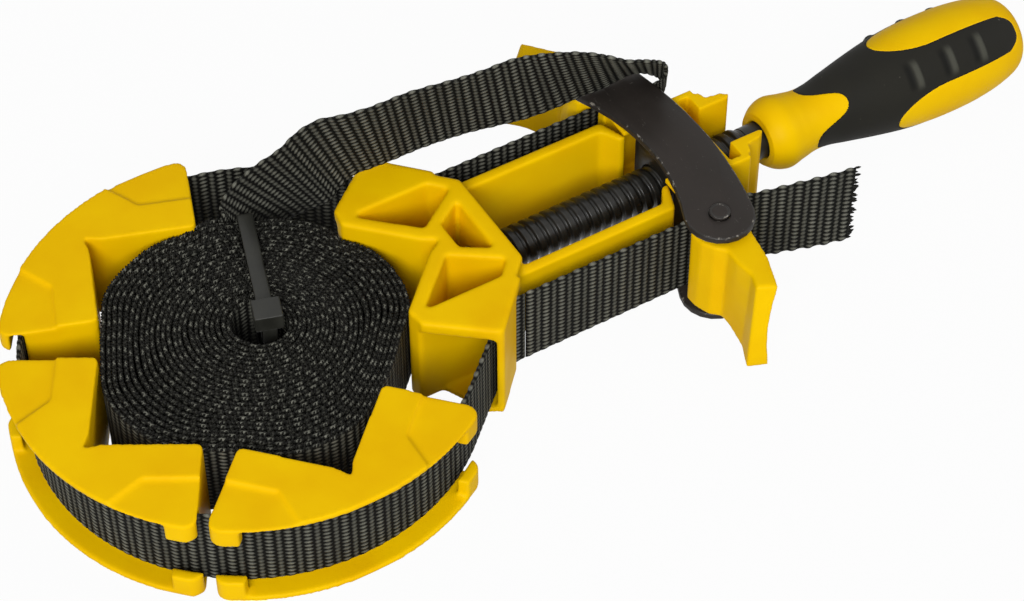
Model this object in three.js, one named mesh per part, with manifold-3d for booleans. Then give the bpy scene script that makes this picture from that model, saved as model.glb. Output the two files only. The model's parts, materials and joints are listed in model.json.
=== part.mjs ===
// Band clamp with a screw tensioner and two cam grips, as an assembly of separate pieces.
// Lengths are millimetres. X runs along the spindle, from the ring of jaws to the handle,
// Z is up, and the ring's centre stands at X = 0, Y = 0 on the floor until the last lines.
import * as THREE from 'three';
import { mergeVertices } from 'three/addons/utils/BufferGeometryUtils.js';
import Module from 'manifold-3d';

// Band
const bandWidth = 25;
const bandThickness = 1.4;
const bandBottom = 2;

// Fits
const clearance = 0.3;
const overrun = 3;

// Ring of jaws
const jawTopWall = 2;
const jawOuterRadius = 64;
const jawReach = 11;
const jawLegShare = 0.5283;
const apexRelief = 1.6;
const apexReliefRun = 3.4;
const grooveDepth = 6.6;
const tabDepth = 3;
const tabLength = 8;
const tabRise = 5.5;
const jawTipRound = 1.5;
const jawCornerRound = 3.2;
const cornerRoomShare = 1.3;
const padDepth = 0.9;
const padInset = 10.5;
const padLength = 14;
const jawAngles = [115, 194.5, 269];

// Head, with places along X counted from the apex of its V
const headTopWall = 4.3;
const headLegRun = 17.5;
const headTipLean = 0.8;
const headSideY = 22;
const headShoulderRun = 11.5;
const headRearRun = 17.3;
const headRearHalf = 16;
const headFloor = 2.6;
const headWall = 3;
const headTipRound = 1.8;
const flangeInsetY = 2;
const flangeTipY = 23.2;
const flangeCornerSetback = 0.4;
const flangeCornerY = 36.3;
const flangeEndRun = 9.2;
const flangeEndY = 26.1;
const flangeRearRun = 13;
const footFrontSetback = 11;
const footCornerSetback = 4.1;
const footCornerY = 34.3;
const guideWall = 2;
const sidePocketFrontSetback = 13.5;
const sidePocketRearRun = 9;
const sidePocketHeelRun = 13;
const sidePocketHeelY = 14.6;
const sidePocketInnerRun = 0.6;
const sidePocketInnerY = 5.7;
const midPocketFrontRun = 5;
const midPocketFrontHalf = 4.6;
const midPocketRearRun = 12.5;
const midPocketRearHalf = 9.5;

// Arms moulded to the head
const armInnerY = 15.3;
const armThickness = 3.3;
const armRise = 2.3;
const armEndSetback = 6.2;
const hookRunX = 3.1;
const hookTipY = 10.2;
const hookThickness = 2;

// Spindle
const threadRadius = 5.9;
const threadRootRadius = 5;
const threadPitch = 3.25;
const threadEndX = 150;
const threadChamfer = 1.2;
const threadSteepness = 1.5;
const shankRadius = 5.2;
const shankEndX = 184;
const journalRadius = 3.2;
const journalEndRun = 8.2;
const washerRadius = 7;
const washerThickness = 1.5;
const clipRadius = 5.4;
const clipThickness = 1.2;

// Handle
const handleFrontX = 155;
const handleEndX = 240;
const handleFrontRadius = 7.6;
const collarRadius = 10.4;
const neckRadius = 8.95;
const gripRadius = 14.7;
const tailRadius = 13;
const gripFrontX = 172;
const gripEndX = 236;
const gripThickness = 1.6;
const panelTipX = 194;
const panelHalfWidth = 8.6;
const panelTipLength = 16;
const tongueAngle = 131;

// Frame of two plates
const plateThickness = 2;
const plateBow = 5.35;
const plateMidHalf = 8.15;
const plateEndRadius = 9.4;
const rivetX = 121.7;
const rivetY = 29.7;
const rivetRadius = 2.3;
const rivetHeadRadius = 2.85;
const rivetHeadHeight = 0.8;

// Nut bar and guide block between the plates
const blockFrontSetback = 4.2;
const nutSetback = 3.5;
const nutLength = 7;
const nutHalfWidth = 9.6;
const blockSideTail = 3.5;
const blockWallStep = 2.5;
const blockWallThickness = 2.5;
const blockSideThickness = 3.6;
const blockWeb = 1.6;
const earLength = 13.5;
const earOuterY = 15;
const earWall = 2;
const earInnerY = 7.2;
const earProngThickness = 2.6;
const earCrossStep = 3.5;
const earCrossLength = 3;

// Cam levers
const camFlatShare = 0.144;
const leverReach = 30.5;
const leverRoomBelow = 1;
const leverRoomAbove = 0.8;
const leverScoop = 1.6;
const farLeverTurn = 20;

// Stored coil and its cable tie
const coilSteps = 22;
const coilRoom = 1.03;
const coilPitch = 1.25;
const coilInnerRadius = 7.2;
const coilThickness = 0.65;
const coilBulge = 2.1;
const coilEndAngle = 74;
const openGapAngle = 58;
const bulgeSpread = 17;
const holeX = 4;
const holeY = 2.5;
const tieWidth = 4.2;
const tieThickness = 1.2;
const tieOffset = 1.4;
const tieAngle = 65;
const tieHeadLength = 7;
const tieHeadWidth = 7.4;
const tieHeadHeight = 5;

// Round counts
const roundSteps = 5;
const ringSegments = 60;
const rodSegments = 12;
const threadRingsPerTurn = 4;
const handleSegments = 30;

// Derived sizes
const degree = Math.PI / 180;
const bandTop = bandBottom + bandWidth;
const bandMiddle = bandBottom + bandWidth / 2;
const headHeight = bandTop + headTopWall;
const spindleZ = headHeight / 2;
const jawHeight = bandTop + jawTopWall;
const jawApexRadius = jawOuterRadius - jawReach;
const jawLeg = jawApexRadius * jawLegShare;
const grooveRadius = jawOuterRadius - grooveDepth;
const tabRadius = jawOuterRadius - tabDepth;
const headApexX = jawApexRadius;
const headShoulderX = headApexX + headShoulderRun;
const headRearX = headApexX + headRearRun;
const flangeCornerX = headApexX - flangeCornerSetback;
const flangeEndX = headApexX + flangeEndRun;
const flangeRearX = headApexX + flangeRearRun;
const midPocketRearX = headApexX + midPocketRearRun;
const armBottom = bandBottom + armRise;
const armEndX = rivetX - armEndSetback;
const plateInnerLow = plateThickness;
const plateInnerHigh = headHeight - plateThickness;
const bandRadius = grooveRadius + clearance + bandThickness / 2;
const bandLineY = rivetY - leverReach * camFlatShare - clearance - bandThickness / 2;
const anvilY = bandLineY - bandThickness / 2 - clearance;
const coilBottom = tieThickness + 2 * clearance;
const coilTop = coilBottom + bandWidth;
const washerX = headRearX + clearance;
const threadStartX = washerX + washerThickness + clearance;
const plateMidX = rivetX + plateBow;
const blockFrontX = rivetX - blockFrontSetback;
const nutFrontX = blockFrontX + nutSetback;
const nutRearX = nutFrontX + nutLength;
const runEndX = nutRearX + clearance;
const blockSideRearX = nutRearX + blockSideTail;
const blockWallX = blockSideRearX + blockWallStep;
const blockRearX = blockWallX + blockWallThickness;
const blockLow = plateInnerLow + clearance;
const blockHigh = plateInnerHigh - clearance;
const leverBottom = plateInnerLow + leverRoomBelow;
const leverTop = plateInnerHigh - leverRoomAbove;
const jawTipRadius = Math.hypot(jawApexRadius - jawLeg * Math.SQRT1_2, jawLeg * Math.SQRT1_2);
const coilOuterRadius = jawTipRadius - coilRoom - coilThickness / 2;
const coilLoops = Math.floor((coilOuterRadius - coilInnerRadius) / coilPitch);
const tieStartX = holeX + tieOffset;
const tieStartY = holeY - tieOffset;
const tieEndRadius = coilOuterRadius + coilBulge + clearance;
const tieEndX = tieEndRadius * Math.cos(tieAngle * degree);
const tieEndY = tieEndRadius * Math.sin(tieAngle * degree);

const wasm = await Module();
wasm.setup();

// A closed mesh becomes a solid for joining and cutting.
function solidOf(geometry) {
  const bare = geometry.clone();
  bare.deleteAttribute('normal');
  bare.deleteAttribute('uv');
  const merged = mergeVertices(bare);
  return new wasm.Manifold(new wasm.Mesh({
    numProp: 3,
    vertProperties: new Float32Array(merged.attributes.position.array),
    triVerts: new Uint32Array(merged.index.array),
  }));
}

function geometryOf(solid) {
  const mesh = solid.getMesh();
  const geometry = new THREE.BufferGeometry();
  geometry.setAttribute('position', new THREE.BufferAttribute(new Float32Array(mesh.vertProperties), 3));
  geometry.setIndex(new THREE.BufferAttribute(new Uint32Array(mesh.triVerts), 1));
  geometry.computeVertexNormals();
  return geometry;
}

function join(first, ...others) {
  return others.reduce((sum, other) => sum.add(other), first);
}

function cut(first, ...others) {
  return others.reduce((rest, other) => rest.subtract(other), first);
}

// An upright prism from an outline in plan.
function prism(outline, low, high) {
  const shape = new THREE.Shape(outline.map(([x, y]) => new THREE.Vector2(x, y)));
  const geometry = new THREE.ExtrudeGeometry(shape, { depth: high - low, bevelEnabled: false });
  return solidOf(geometry.translate(0, 0, low));
}

function box(x0, x1, y0, y1, low, high) {
  return prism([[x0, y0], [x1, y0], [x1, y1], [x0, y1]], low, high);
}

function uprightRod(radius, x, y, low, high, segments) {
  const geometry = new THREE.CylinderGeometry(radius, radius, high - low, segments);
  geometry.rotateX(Math.PI / 2);
  return solidOf(geometry.translate(x, y, (low + high) / 2));
}

// A rod along the spindle's axis.
function axialRod(radius, x0, x1, segments) {
  const geometry = new THREE.CylinderGeometry(radius, radius, x1 - x0, segments);
  geometry.rotateZ(Math.PI / 2);
  return solidOf(geometry.translate((x0 + x1) / 2, 0, spindleZ));
}

// Replaces a corner of an outline by an arc that touches both sides.
function roundedCorner(before, corner, after, radius) {
  const p = new THREE.Vector2(...corner);
  const a = new THREE.Vector2(...before).sub(p).normalize();
  const b = new THREE.Vector2(...after).sub(p).normalize();
  const half = Math.acos(THREE.MathUtils.clamp(a.dot(b), -1, 1)) / 2;
  const centre = a.clone().add(b).normalize().multiplyScalar(radius / Math.sin(half)).add(p);
  const from = a.clone().multiplyScalar(radius / Math.tan(half)).add(p).sub(centre);
  const to = b.clone().multiplyScalar(radius / Math.tan(half)).add(p).sub(centre);
  const sweep = Math.atan2(from.x * to.y - from.y * to.x, from.dot(to));
  const arc = [];
  for (let i = 0; i <= roundSteps; i++) {
    const q = from.clone().rotateAround(new THREE.Vector2(), sweep * i / roundSteps).add(centre);
    arc.push([q.x, q.y]);
  }
  return arc;
}

// An outline whose rows are [x, y] or [x, y, corner radius].
function rounded(rows) {
  const count = rows.length;
  return rows.flatMap(([x, y, radius], i) => {
    if (!radius) return [[x, y]];
    const before = rows[(i + count - 1) % count].slice(0, 2);
    const after = rows[(i + 1) % count].slice(0, 2);
    return roundedCorner(before, [x, y], after, radius);
  });
}

// A half outline with Y above zero, closed by its mirror image.
function mirrored(half) {
  const other = half.filter(([, y]) => y !== 0).map(([x, y, ...rest]) => [x, -y, ...rest]);
  return [...half, ...other.reverse()];
}

function asDrawn(outline) {
  return outline;
}

function flipped(outline) {
  return outline.map(([x, y, ...rest]) => [x, -y, ...rest]);
}

// Side faces between rings of points that all have the same count.
function wallFaces(rings) {
  const count = rings[0].length;
  const faces = [];
  for (let i = 0; i + 1 < rings.length; i++) {
    for (let j = 0; j < count; j++) {
      const a = i * count + j;
      const b = i * count + (j + 1) % count;
      faces.push([a, b, b + count], [a, b + count, a + count]);
    }
  }
  return faces;
}

// A skin over rings, closed by a fan at each end.
function ringSkin(rings) {
  const count = rings[0].length;
  const vertices = rings.flat();
  const faces = wallFaces(rings);
  const caps = [[0, rings[0], false], [(rings.length - 1) * count, rings.at(-1), true]];
  for (const [start, ring, last] of caps) {
    const centre = vertices.length;
    vertices.push(ring.reduce((sum, p) => sum.clone().add(p), new THREE.Vector3()).divideScalar(count));
    for (let j = 0; j < count; j++) {
      const a = start + j;
      const b = start + (j + 1) % count;
      faces.push(last ? [a, b, centre] : [b, a, centre]);
    }
  }
  return closedGeometry(vertices, faces);
}

// A skin over level rings, closed by flat ends that may bend inwards.
function levelSkin(rings) {
  const plan = (ring) => ring.map((p) => new THREE.Vector2(p.x, p.y));
  const turnOver = ([a, b, c]) => [a, c, b];
  const capOf = (ring) => {
    const flat = plan(ring);
    const sideOf = ([a, b, c]) => flat[b].clone().sub(flat[a]).cross(flat[c].clone().sub(flat[a]));
    return THREE.ShapeUtils.triangulateShape(flat, []).map((face) => (sideOf(face) < 0 ? turnOver(face) : face));
  };
  const walls = THREE.ShapeUtils.isClockWise(plan(rings[0])) ? wallFaces(rings).map(turnOver) : wallFaces(rings);
  const top = (rings.length - 1) * rings[0].length;
  const topCap = capOf(rings.at(-1)).map((face) => face.map((k) => k + top));
  return closedGeometry(rings.flat(), [...walls, ...topCap, ...capOf(rings[0]).map(turnOver)]);
}

// Turns the faces over if they enclose a negative volume.
function closedGeometry(vertices, faces) {
  const volume = faces.reduce((sum, [a, b, c]) => {
    const normal = new THREE.Vector3().crossVectors(vertices[b], vertices[c]);
    return sum + vertices[a].dot(normal);
  }, 0);
  const outward = volume < 0 ? faces.map(([a, b, c]) => [a, c, b]) : faces;
  const geometry = new THREE.BufferGeometry();
  const position = vertices.flatMap((p) => p.toArray());
  geometry.setAttribute('position', new THREE.Float32BufferAttribute(position, 3));
  geometry.setIndex(outward.flat());
  geometry.computeVertexNormals();
  return geometry;
}

// A flat strip that follows two edge curves, lower and upper.
function ribbon(lowerPoints, upperPoints, thickness, steps) {
  const lower = new THREE.CatmullRomCurve3(lowerPoints);
  const upper = new THREE.CatmullRomCurve3(upperPoints);
  const rings = [];
  for (let i = 0; i <= steps; i++) {
    const t = i / steps;
    const low = lower.getPoint(t);
    const high = upper.getPoint(t);
    const along = lower.getTangent(t).add(upper.getTangent(t)).normalize();
    const across = high.clone().sub(low).normalize();
    const side = along.cross(across).normalize().multiplyScalar(thickness / 2);
    rings.push([low.clone().add(side), high.clone().add(side), high.clone().sub(side), low.clone().sub(side)]);
  }
  return ringSkin(rings);
}

// An upright strip of even thickness along a centre line in plan.
function uprightStrip(line, thickness, low, high) {
  const side = (sign) => line.map(([x, y], i) => {
    const [x0, y0] = line[Math.max(i - 1, 0)];
    const [x1, y1] = line[Math.min(i + 1, line.length - 1)];
    const length = Math.hypot(x1 - x0, y1 - y0);
    const offset = sign * thickness / 2;
    return [x - (y1 - y0) / length * offset, y + (x1 - x0) / length * offset];
  });
  return prism([...side(1), ...side(-1).reverse()], low, high);
}

// Corner jaw, with its V notch opening towards the ring's centre and its apex on the X axis.
function jawPoint(along, outwards, side) {
  const step = Math.SQRT1_2;
  return [jawApexRadius + (outwards - along) * step, side * (outwards + along) * step];
}

function jawOutline() {
  const [tipX, tipY] = jawPoint(jawLeg, 0, 1);
  const reach = (tipX + tipY) * Math.SQRT1_2;
  const beyond = Math.sqrt(reach ** 2 + jawOuterRadius ** 2 - tipX ** 2 - tipY ** 2) - reach;
  const corner = jawPoint(jawLeg, beyond, 1);
  const cornerAngle = Math.atan2(corner[1], corner[0]);
  const arcAngle = cornerAngle - jawCornerRound * cornerRoomShare / jawOuterRadius;
  const arcSteps = roundSteps * 2 - 1;
  const rows = [[jawApexRadius + apexRelief, 0], [...jawPoint(apexReliefRun, 0, 1)]];
  rows.push([tipX, tipY, jawTipRound], [...corner, jawCornerRound]);
  for (let i = 0; i < arcSteps; i++) {
    const angle = arcAngle * (1 - i / arcSteps);
    rows.push([jawOuterRadius * Math.cos(angle), jawOuterRadius * Math.sin(angle)]);
  }
  rows.push([jawOuterRadius, 0]);
  return rounded(mirrored(rows));
}

// The groove for the band, less the tabs that close it at both ends of the jaw.
function jawGroove() {
  const low = bandBottom - clearance;
  const high = bandTop + clearance;
  const rim = jawOuterRadius + overrun;
  let groove = cut(
    uprightRod(rim, 0, 0, low, high, ringSegments),
    uprightRod(grooveRadius, 0, 0, low - overrun, high + overrun, ringSegments),
  );
  const core = uprightRod(tabRadius, 0, 0, -overrun, jawHeight + overrun, ringSegments);
  for (const side of [1, -1]) {
    const zone = [[jawLeg - tabLength, 0], [jawLeg + overrun, 0]];
    zone.push([jawLeg + overrun, jawOuterRadius], [jawLeg - tabLength, jawOuterRadius]);
    const outline = zone.map(([along, outwards]) => jawPoint(along, outwards, side));
    groove = cut(groove, cut(prism(outline, low - overrun, low + tabRise), core));
    groove = cut(groove, cut(prism(outline, high - tabRise, high + overrun), core));
  }
  return groove;
}

function jawPads() {
  return [1, -1].map((side) => {
    const slant = jawOuterRadius - jawApexRadius;
    const rows = [[jawLeg + overrun, padInset], [padLength, padInset]];
    rows.push([padLength - slant, padInset + slant], [padLength - slant, jawOuterRadius]);
    rows.push([jawLeg + overrun, jawOuterRadius]);
    const outline = rows.map(([along, outwards]) => jawPoint(along, outwards, side));
    return prism(outline, jawHeight - padDepth, jawHeight + overrun);
  });
}

function cornerJaw() {
  const body = prism(jawOutline(), 0, jawHeight);
  return geometryOf(cut(body, jawGroove(), ...jawPads()));
}

// Head: a V notch at the front, three open pockets, and a covered slot for the band on each side.
function headBody() {
  const tipX = headApexX - headLegRun;
  const outline = rounded(mirrored([
    [headApexX + apexRelief, 0],
    [headApexX - apexReliefRun * Math.SQRT1_2, apexReliefRun * Math.SQRT1_2],
    [tipX, headLegRun, headTipRound],
    [tipX + headTipLean, headSideY, headTipRound / 2],
    [headShoulderX, headSideY],
    [headRearX, headRearHalf, headTipRound],
  ]));
  return prism(outline, 0, headHeight);
}

function headFlange(turn) {
  const tipX = headApexX - headLegRun + headTipLean;
  const inner = headSideY - flangeInsetY;
  const outline = [
    [tipX, inner],
    [tipX, flangeTipY, headTipRound / 2],
    [flangeCornerX, flangeCornerY, headTipRound],
    [flangeEndX, flangeEndY, headTipRound / 2],
    [flangeRearX, headSideY],
    [headShoulderX, inner],
  ];
  return prism(rounded(turn(outline)), bandTop + clearance, headHeight);
}

function headFoot(turn) {
  const inner = headSideY - flangeInsetY;
  const outline = [
    [headApexX - footFrontSetback, inner],
    [headApexX - footCornerSetback, footCornerY],
    [flangeCornerX, flangeCornerY, guideWall / 2],
    [flangeEndX, flangeEndY],
    [headShoulderX, inner],
  ];
  return prism(rounded(turn(outline)), 0, bandBottom - clearance);
}

function headGuide(turn) {
  const run = [flangeEndX - flangeCornerX, flangeEndY - flangeCornerY];
  const length = Math.hypot(...run);
  const inward = [run[1] / length * guideWall, -run[0] / length * guideWall];
  const stopY = bandLineY + bandThickness / 2 + clearance;
  const outerStopX = flangeCornerX + run[0] * (stopY - flangeCornerY) / run[1];
  const outline = [
    [flangeCornerX, flangeCornerY, guideWall / 2],
    [outerStopX, stopY],
    [outerStopX + inward[0] * Math.SQRT2, stopY],
    [flangeCornerX + inward[0], flangeCornerY + inward[1]],
  ];
  return prism(rounded(turn(outline)), 0, headHeight - headTipRound);
}

function headPockets() {
  const top = headHeight + overrun;
  const sideY = headSideY - headWall;
  const side = [
    [headApexX - sidePocketFrontSetback, sideY],
    [headApexX + sidePocketRearRun, sideY],
    [headApexX + sidePocketHeelRun, sidePocketHeelY],
    [headApexX + sidePocketInnerRun, sidePocketInnerY],
  ];
  const midFrontX = headApexX + midPocketFrontRun;
  const mid = mirrored([[midFrontX, midPocketFrontHalf], [midPocketRearX, midPocketRearHalf]]);
  return [side, flipped(side), mid].map((outline) => prism(outline, headFloor, top));
}

function headArm(turn) {
  const outerY = armInnerY + armThickness;
  const outline = [
    [headRearX - headWall, armInnerY],
    [armEndX - hookThickness, armInnerY],
    [armEndX + hookRunX - hookThickness, hookTipY],
    [armEndX + hookRunX, hookTipY],
    [armEndX, outerY, hookThickness / 2],
    [headRearX - headWall, outerY],
  ];
  return prism(rounded(turn(outline)), armBottom, bandTop);
}

function frontHead() {
  const sides = [asDrawn, flipped].flatMap((turn) => (
    [headFlange(turn), headFoot(turn), headGuide(turn), headArm(turn)]
  ));
  const body = cut(headBody(), ...headPockets());
  const pocketX = headApexX + midPocketFrontRun + headWall;
  const bore = axialRod(journalRadius + clearance, pocketX, headRearX + overrun, rodSegments);
  return geometryOf(cut(join(body, ...sides), bore));
}

// Spindle: a journal held in the head, a coarse thread, and a plain shank inside the handle.
function circleRing(x, radiusAt, segments) {
  return Array.from({ length: segments }, (_, j) => {
    const turn = j / segments;
    const radius = radiusAt(turn);
    const angle = turn * 2 * Math.PI;
    return new THREE.Vector3(x, radius * Math.cos(angle), spindleZ + radius * Math.sin(angle));
  });
}

function threadRadiusAt(x, turn) {
  const mean = (threadRadius + threadRootRadius) / 2;
  const wave = threadSteepness * Math.cos(2 * Math.PI * (x / threadPitch - turn));
  return mean + (threadRadius - threadRootRadius) / 2 * THREE.MathUtils.clamp(wave, -1, 1);
}

function spindleShape() {
  const plain = (x, radius) => circleRing(x, () => radius, rodSegments);
  const rings = [plain(headApexX + journalEndRun, journalRadius), plain(threadStartX, journalRadius)];
  rings.push(plain(threadStartX, threadRootRadius));
  const first = threadStartX + threadChamfer;
  const last = threadEndX - threadChamfer;
  const count = Math.round((last - first) / threadPitch * threadRingsPerTurn);
  for (let i = 0; i <= count; i++) {
    const x = first + (last - first) * i / count;
    rings.push(circleRing(x, (turn) => threadRadiusAt(x, turn), rodSegments));
  }
  rings.push(plain(threadEndX, threadRootRadius), plain(threadEndX, shankRadius));
  rings.push(plain(shankEndX, shankRadius));
  return ringSkin(rings);
}

function thrustWasher() {
  const disc = axialRod(washerRadius, washerX, washerX + washerThickness, rodSegments * 2);
  const bore = axialRod(journalRadius + clearance, washerX - overrun, washerX + overrun, rodSegments);
  return geometryOf(cut(disc, bore));
}

// An open spring clip on the journal, inside the head's middle pocket.
function retainingClip() {
  const rear = midPocketRearX - clearance;
  const disc = axialRod(clipRadius, rear - clipThickness, rear, rodSegments * 2);
  const bore = axialRod(journalRadius + clearance, rear - overrun, rear + overrun, rodSegments);
  const mouth = box(rear - overrun, rear + overrun, -journalRadius / 2, journalRadius / 2, spindleZ, headHeight);
  return geometryOf(cut(disc, bore, mouth));
}

// Handle profile as rows of place along the handle and radius.
function handleRows() {
  const length = handleEndX - handleFrontX;
  const placeShares = [0, 0.02, 0.06, 0.12, 0.17, 0.22, 0.3, 0.4, 0.5, 0.6, 0.7, 0.8, 0.9, 0.955, 0.985, 1];
  const neckToGripShares = [0, 0, 0.22, 0.52, 0.79, 0.95, 1, 0.96];
  const roundEndShares = [0.99, 0.9, 0.74, 0.5];
  const radii = [
    handleFrontRadius,
    (handleFrontRadius + collarRadius) / 2,
    collarRadius,
    (collarRadius + neckRadius) / 2,
    ...neckToGripShares.map((share) => neckRadius + (gripRadius - neckRadius) * share),
    ...roundEndShares.map((share) => tailRadius * share),
  ];
  return placeShares.map((share, i) => [handleFrontX + length * share, radii[i]]);
}

function handleRadiusAt(x) {
  const rows = handleRows();
  const i = Math.max(1, rows.findIndex(([place]) => place >= x));
  const [x0, r0] = rows[i - 1];
  const [x1, r1] = rows[i];
  return r0 + (r1 - r0) * (x - x0) / (x1 - x0);
}

function turned(rows) {
  return solidOf(ringSkin(rows.map(([x, radius]) => circleRing(x, () => radius, handleSegments))));
}

// The room that the soft sleeve fills, between two places and down to a depth.
function sleeveRoom(x0, x1, depth, outwards) {
  const inside = handleRows().filter(([x]) => x > x0 && x < x1);
  const rows = [[x0, handleRadiusAt(x0)], ...inside, [x1, handleRadiusAt(x1)]];
  const outer = turned(rows.map(([x, radius]) => [x, radius + outwards]));
  const longer = [[x0 - overrun, rows[0][1]], ...rows, [x1 + overrun, rows.at(-1)[1]]];
  return cut(outer, turned(longer.map(([x, radius]) => [x, radius - depth])));
}

// Three openings in the sleeve, open at its rear, where the handle's core comes to the surface.
function panelOpenings(gap) {
  const half = panelHalfWidth - gap;
  const tipX = panelTipX + gap;
  const edge = [];
  for (let i = 0; i <= roundSteps; i++) {
    const share = i / roundSteps;
    edge.push([tipX + panelTipLength * share, half * Math.sqrt(1 - (1 - share) ** 2)]);
  }
  edge.push([handleEndX + overrun, half]);
  const outline = mirrored(edge);
  return [1, 3, 5].map((sixth) => {
    const shape = new THREE.Shape(outline.map(([x, y]) => new THREE.Vector2(x, y)));
    const depth = gripRadius + overrun;
    const geometry = new THREE.ExtrudeGeometry(shape, { depth, bevelEnabled: false });
    const angle = tongueAngle * degree + sixth * Math.PI / 3 - Math.PI / 2;
    return solidOf(geometry.rotateX(angle).translate(0, 0, spindleZ));
  });
}

function handleCore() {
  const room = sleeveRoom(gripFrontX - clearance, gripEndX + clearance, gripThickness + clearance, overrun);
  const sleevePath = cut(room, ...panelOpenings(clearance));
  const bore = axialRod(shankRadius + clearance, handleFrontX - overrun, shankEndX + clearance, rodSegments);
  return geometryOf(cut(turned(handleRows()), sleevePath, bore));
}

function handleGrip() {
  return geometryOf(cut(sleeveRoom(gripFrontX, gripEndX, gripThickness, 0), ...panelOpenings(0)));
}

// Frame plate: a crescent band that widens to a round end about each rivet.
function plateOutline() {
  const steps = roundSteps * 2;
  const centreAt = (share) => [plateMidX + (rivetX - plateMidX) * share ** 2, rivetY * share];
  const edge = (side) => Array.from({ length: steps + 1 }, (_, i) => {
    const share = 2 * i / steps - 1;
    const [x, y] = centreAt(share);
    const slope = Math.atan2(2 * (rivetX - plateMidX) * share, rivetY);
    const half = plateMidHalf + (plateEndRadius - plateMidHalf) * share ** 2;
    return [x + side * half * Math.cos(slope), y - side * half * Math.sin(slope)];
  });
  const lean = Math.atan2(2 * (rivetX - plateMidX), rivetY);
  const end = (sign) => Array.from({ length: steps - 1 }, (_, i) => {
    const angle = sign * (Math.PI * (i + 1) / steps - lean);
    return [rivetX + plateEndRadius * Math.cos(angle), sign * rivetY + plateEndRadius * Math.sin(angle)];
  });
  return [...edge(1), ...end(1), ...edge(-1).reverse(), ...end(-1).reverse()];
}

function framePlate(low) {
  const high = low + plateThickness;
  const holes = [rivetY, -rivetY].map((y) => (
    uprightRod(rivetRadius + clearance, rivetX, y, low - overrun, high + overrun, rodSegments)
  ));
  return geometryOf(cut(prism(plateOutline(), low, high), ...holes));
}

function rivet(y) {
  const neck = headHeight + clearance;
  const shank = uprightRod(rivetRadius, rivetX, y, clearance, neck + rivetHeadHeight / 2, rodSegments);
  const head = uprightRod(rivetHeadRadius, rivetX, y, neck, neck + rivetHeadHeight, rodSegments * 2);
  return geometryOf(join(shank, head));
}

// The nut is a plain bored bar, so its bore clears the thread's crest.
function spindleNut() {
  const bar = box(nutFrontX, nutRearX, -nutHalfWidth, nutHalfWidth, blockLow, blockHigh);
  const bore = axialRod(threadRadius + clearance, nutFrontX - overrun, nutRearX + overrun, rodSegments * 2);
  return geometryOf(cut(bar, bore));
}

function blockSide(turn) {
  const inner = nutHalfWidth + clearance;
  const wallY = anvilY - blockSideThickness;
  const rect = (x0, x1, y0, y1) => turn([[x0, y0], [x1, y0], [x1, y1], [x0, y1]]);
  return join(
    prism(rect(blockFrontX, blockSideRearX, wallY, anvilY), blockLow, blockHigh),
    prism(rect(blockFrontX, blockSideRearX, inner, anvilY), blockLow, blockLow + blockWeb),
    prism(rect(blockFrontX, blockSideRearX, inner, anvilY), blockHigh - blockWeb, blockHigh),
    prism(rect(blockFrontX, blockRearX, inner, earOuterY), blockLow, blockLow + blockWeb),
    prism(rect(blockFrontX, blockRearX, inner, earOuterY), blockHigh - blockWeb, blockHigh),
  );
}

function blockEar(turn) {
  const rect = (x0, x1, y0, y1) => turn([[x0, y0], [x1, y0], [x1, y1], [x0, y1]]);
  const earCrossX = blockRearX + earCrossStep;
  const crossRear = earCrossX + earCrossLength;
  const endX = blockRearX + earLength;
  const prongOuter = earInnerY + earProngThickness;
  const prong = turn([
    [earCrossX, earInnerY],
    [endX - earWall / 2, earInnerY],
    [endX, earInnerY + earWall / 2],
    [endX - earWall, prongOuter],
    [crossRear + earWall / 2, prongOuter + earWall / 4],
    [crossRear, earOuterY - earWall],
    [earCrossX, earOuterY - earWall],
  ]);
  return join(
    prism(rect(blockWallX, crossRear - earWall / 2, earOuterY - earWall, earOuterY), blockLow, blockHigh),
    prism(prong, blockLow, blockHigh),
  );
}

function guideBlock() {
  const rearWall = box(blockWallX, blockRearX, -earOuterY, earOuterY, blockLow, blockHigh);
  const core = box(runEndX, blockRearX, -nutHalfWidth, nutHalfWidth, blockLow, blockHigh);
  const sides = [asDrawn, flipped].flatMap((turn) => [blockSide(turn), blockEar(turn)]);
  const bore = axialRod(threadRadius + clearance, nutRearX - overrun, blockRearX + overrun, rodSegments * 2);
  return geometryOf(cut(join(rearWall, core, ...sides), bore));
}

// Cam lever about its pivot: places towards the jaws, then outwards, at the top and at the bottom.
const leverShares = [
  [-0.079, -0.144, -0.079, -0.144], [0.039, -0.144, 0.039, -0.144], [0.13, -0.113, 0.13, -0.113],
  [0.2, -0.088, 0.2, -0.088], [0.289, 0, 0.289, 0], [0.272, 0.138, 0.279, 0.121], [0.21, 0.243, 0.23, 0.259],
  [0.131, 0.328, 0.148, 0.328], [0.138, 0.492, 0.151, 0.459], [0.11, 0.656, 0.19, 0.705],
  [0.16, 0.8, 0.29, 0.928], [-0.01, 0.889, 0.11, 1], [-0.13, 0.557, -0.04, 0.656],
  [-0.184, 0.21, -0.115, 0.295], [-0.256, 0.049, -0.243, 0.066], [-0.18, -0.102, -0.18, -0.102],
];
const leverScoopShares = [0, 0, 0, 0, 0, 0, 0, 0, 0, 0, 0, 1, 0.8, 0.2, 0, 0];

function leverLevel(share) {
  const scoop = Math.sin(share * Math.PI) * leverScoop;
  return leverShares.map(([frontTop, outTop, frontLow, outLow], i) => {
    const front = THREE.MathUtils.lerp(frontLow, frontTop, share) * leverReach;
    const out = THREE.MathUtils.lerp(outLow, outTop, share) * leverReach;
    return [front + scoop * leverScoopShares[i], out];
  });
}

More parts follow.
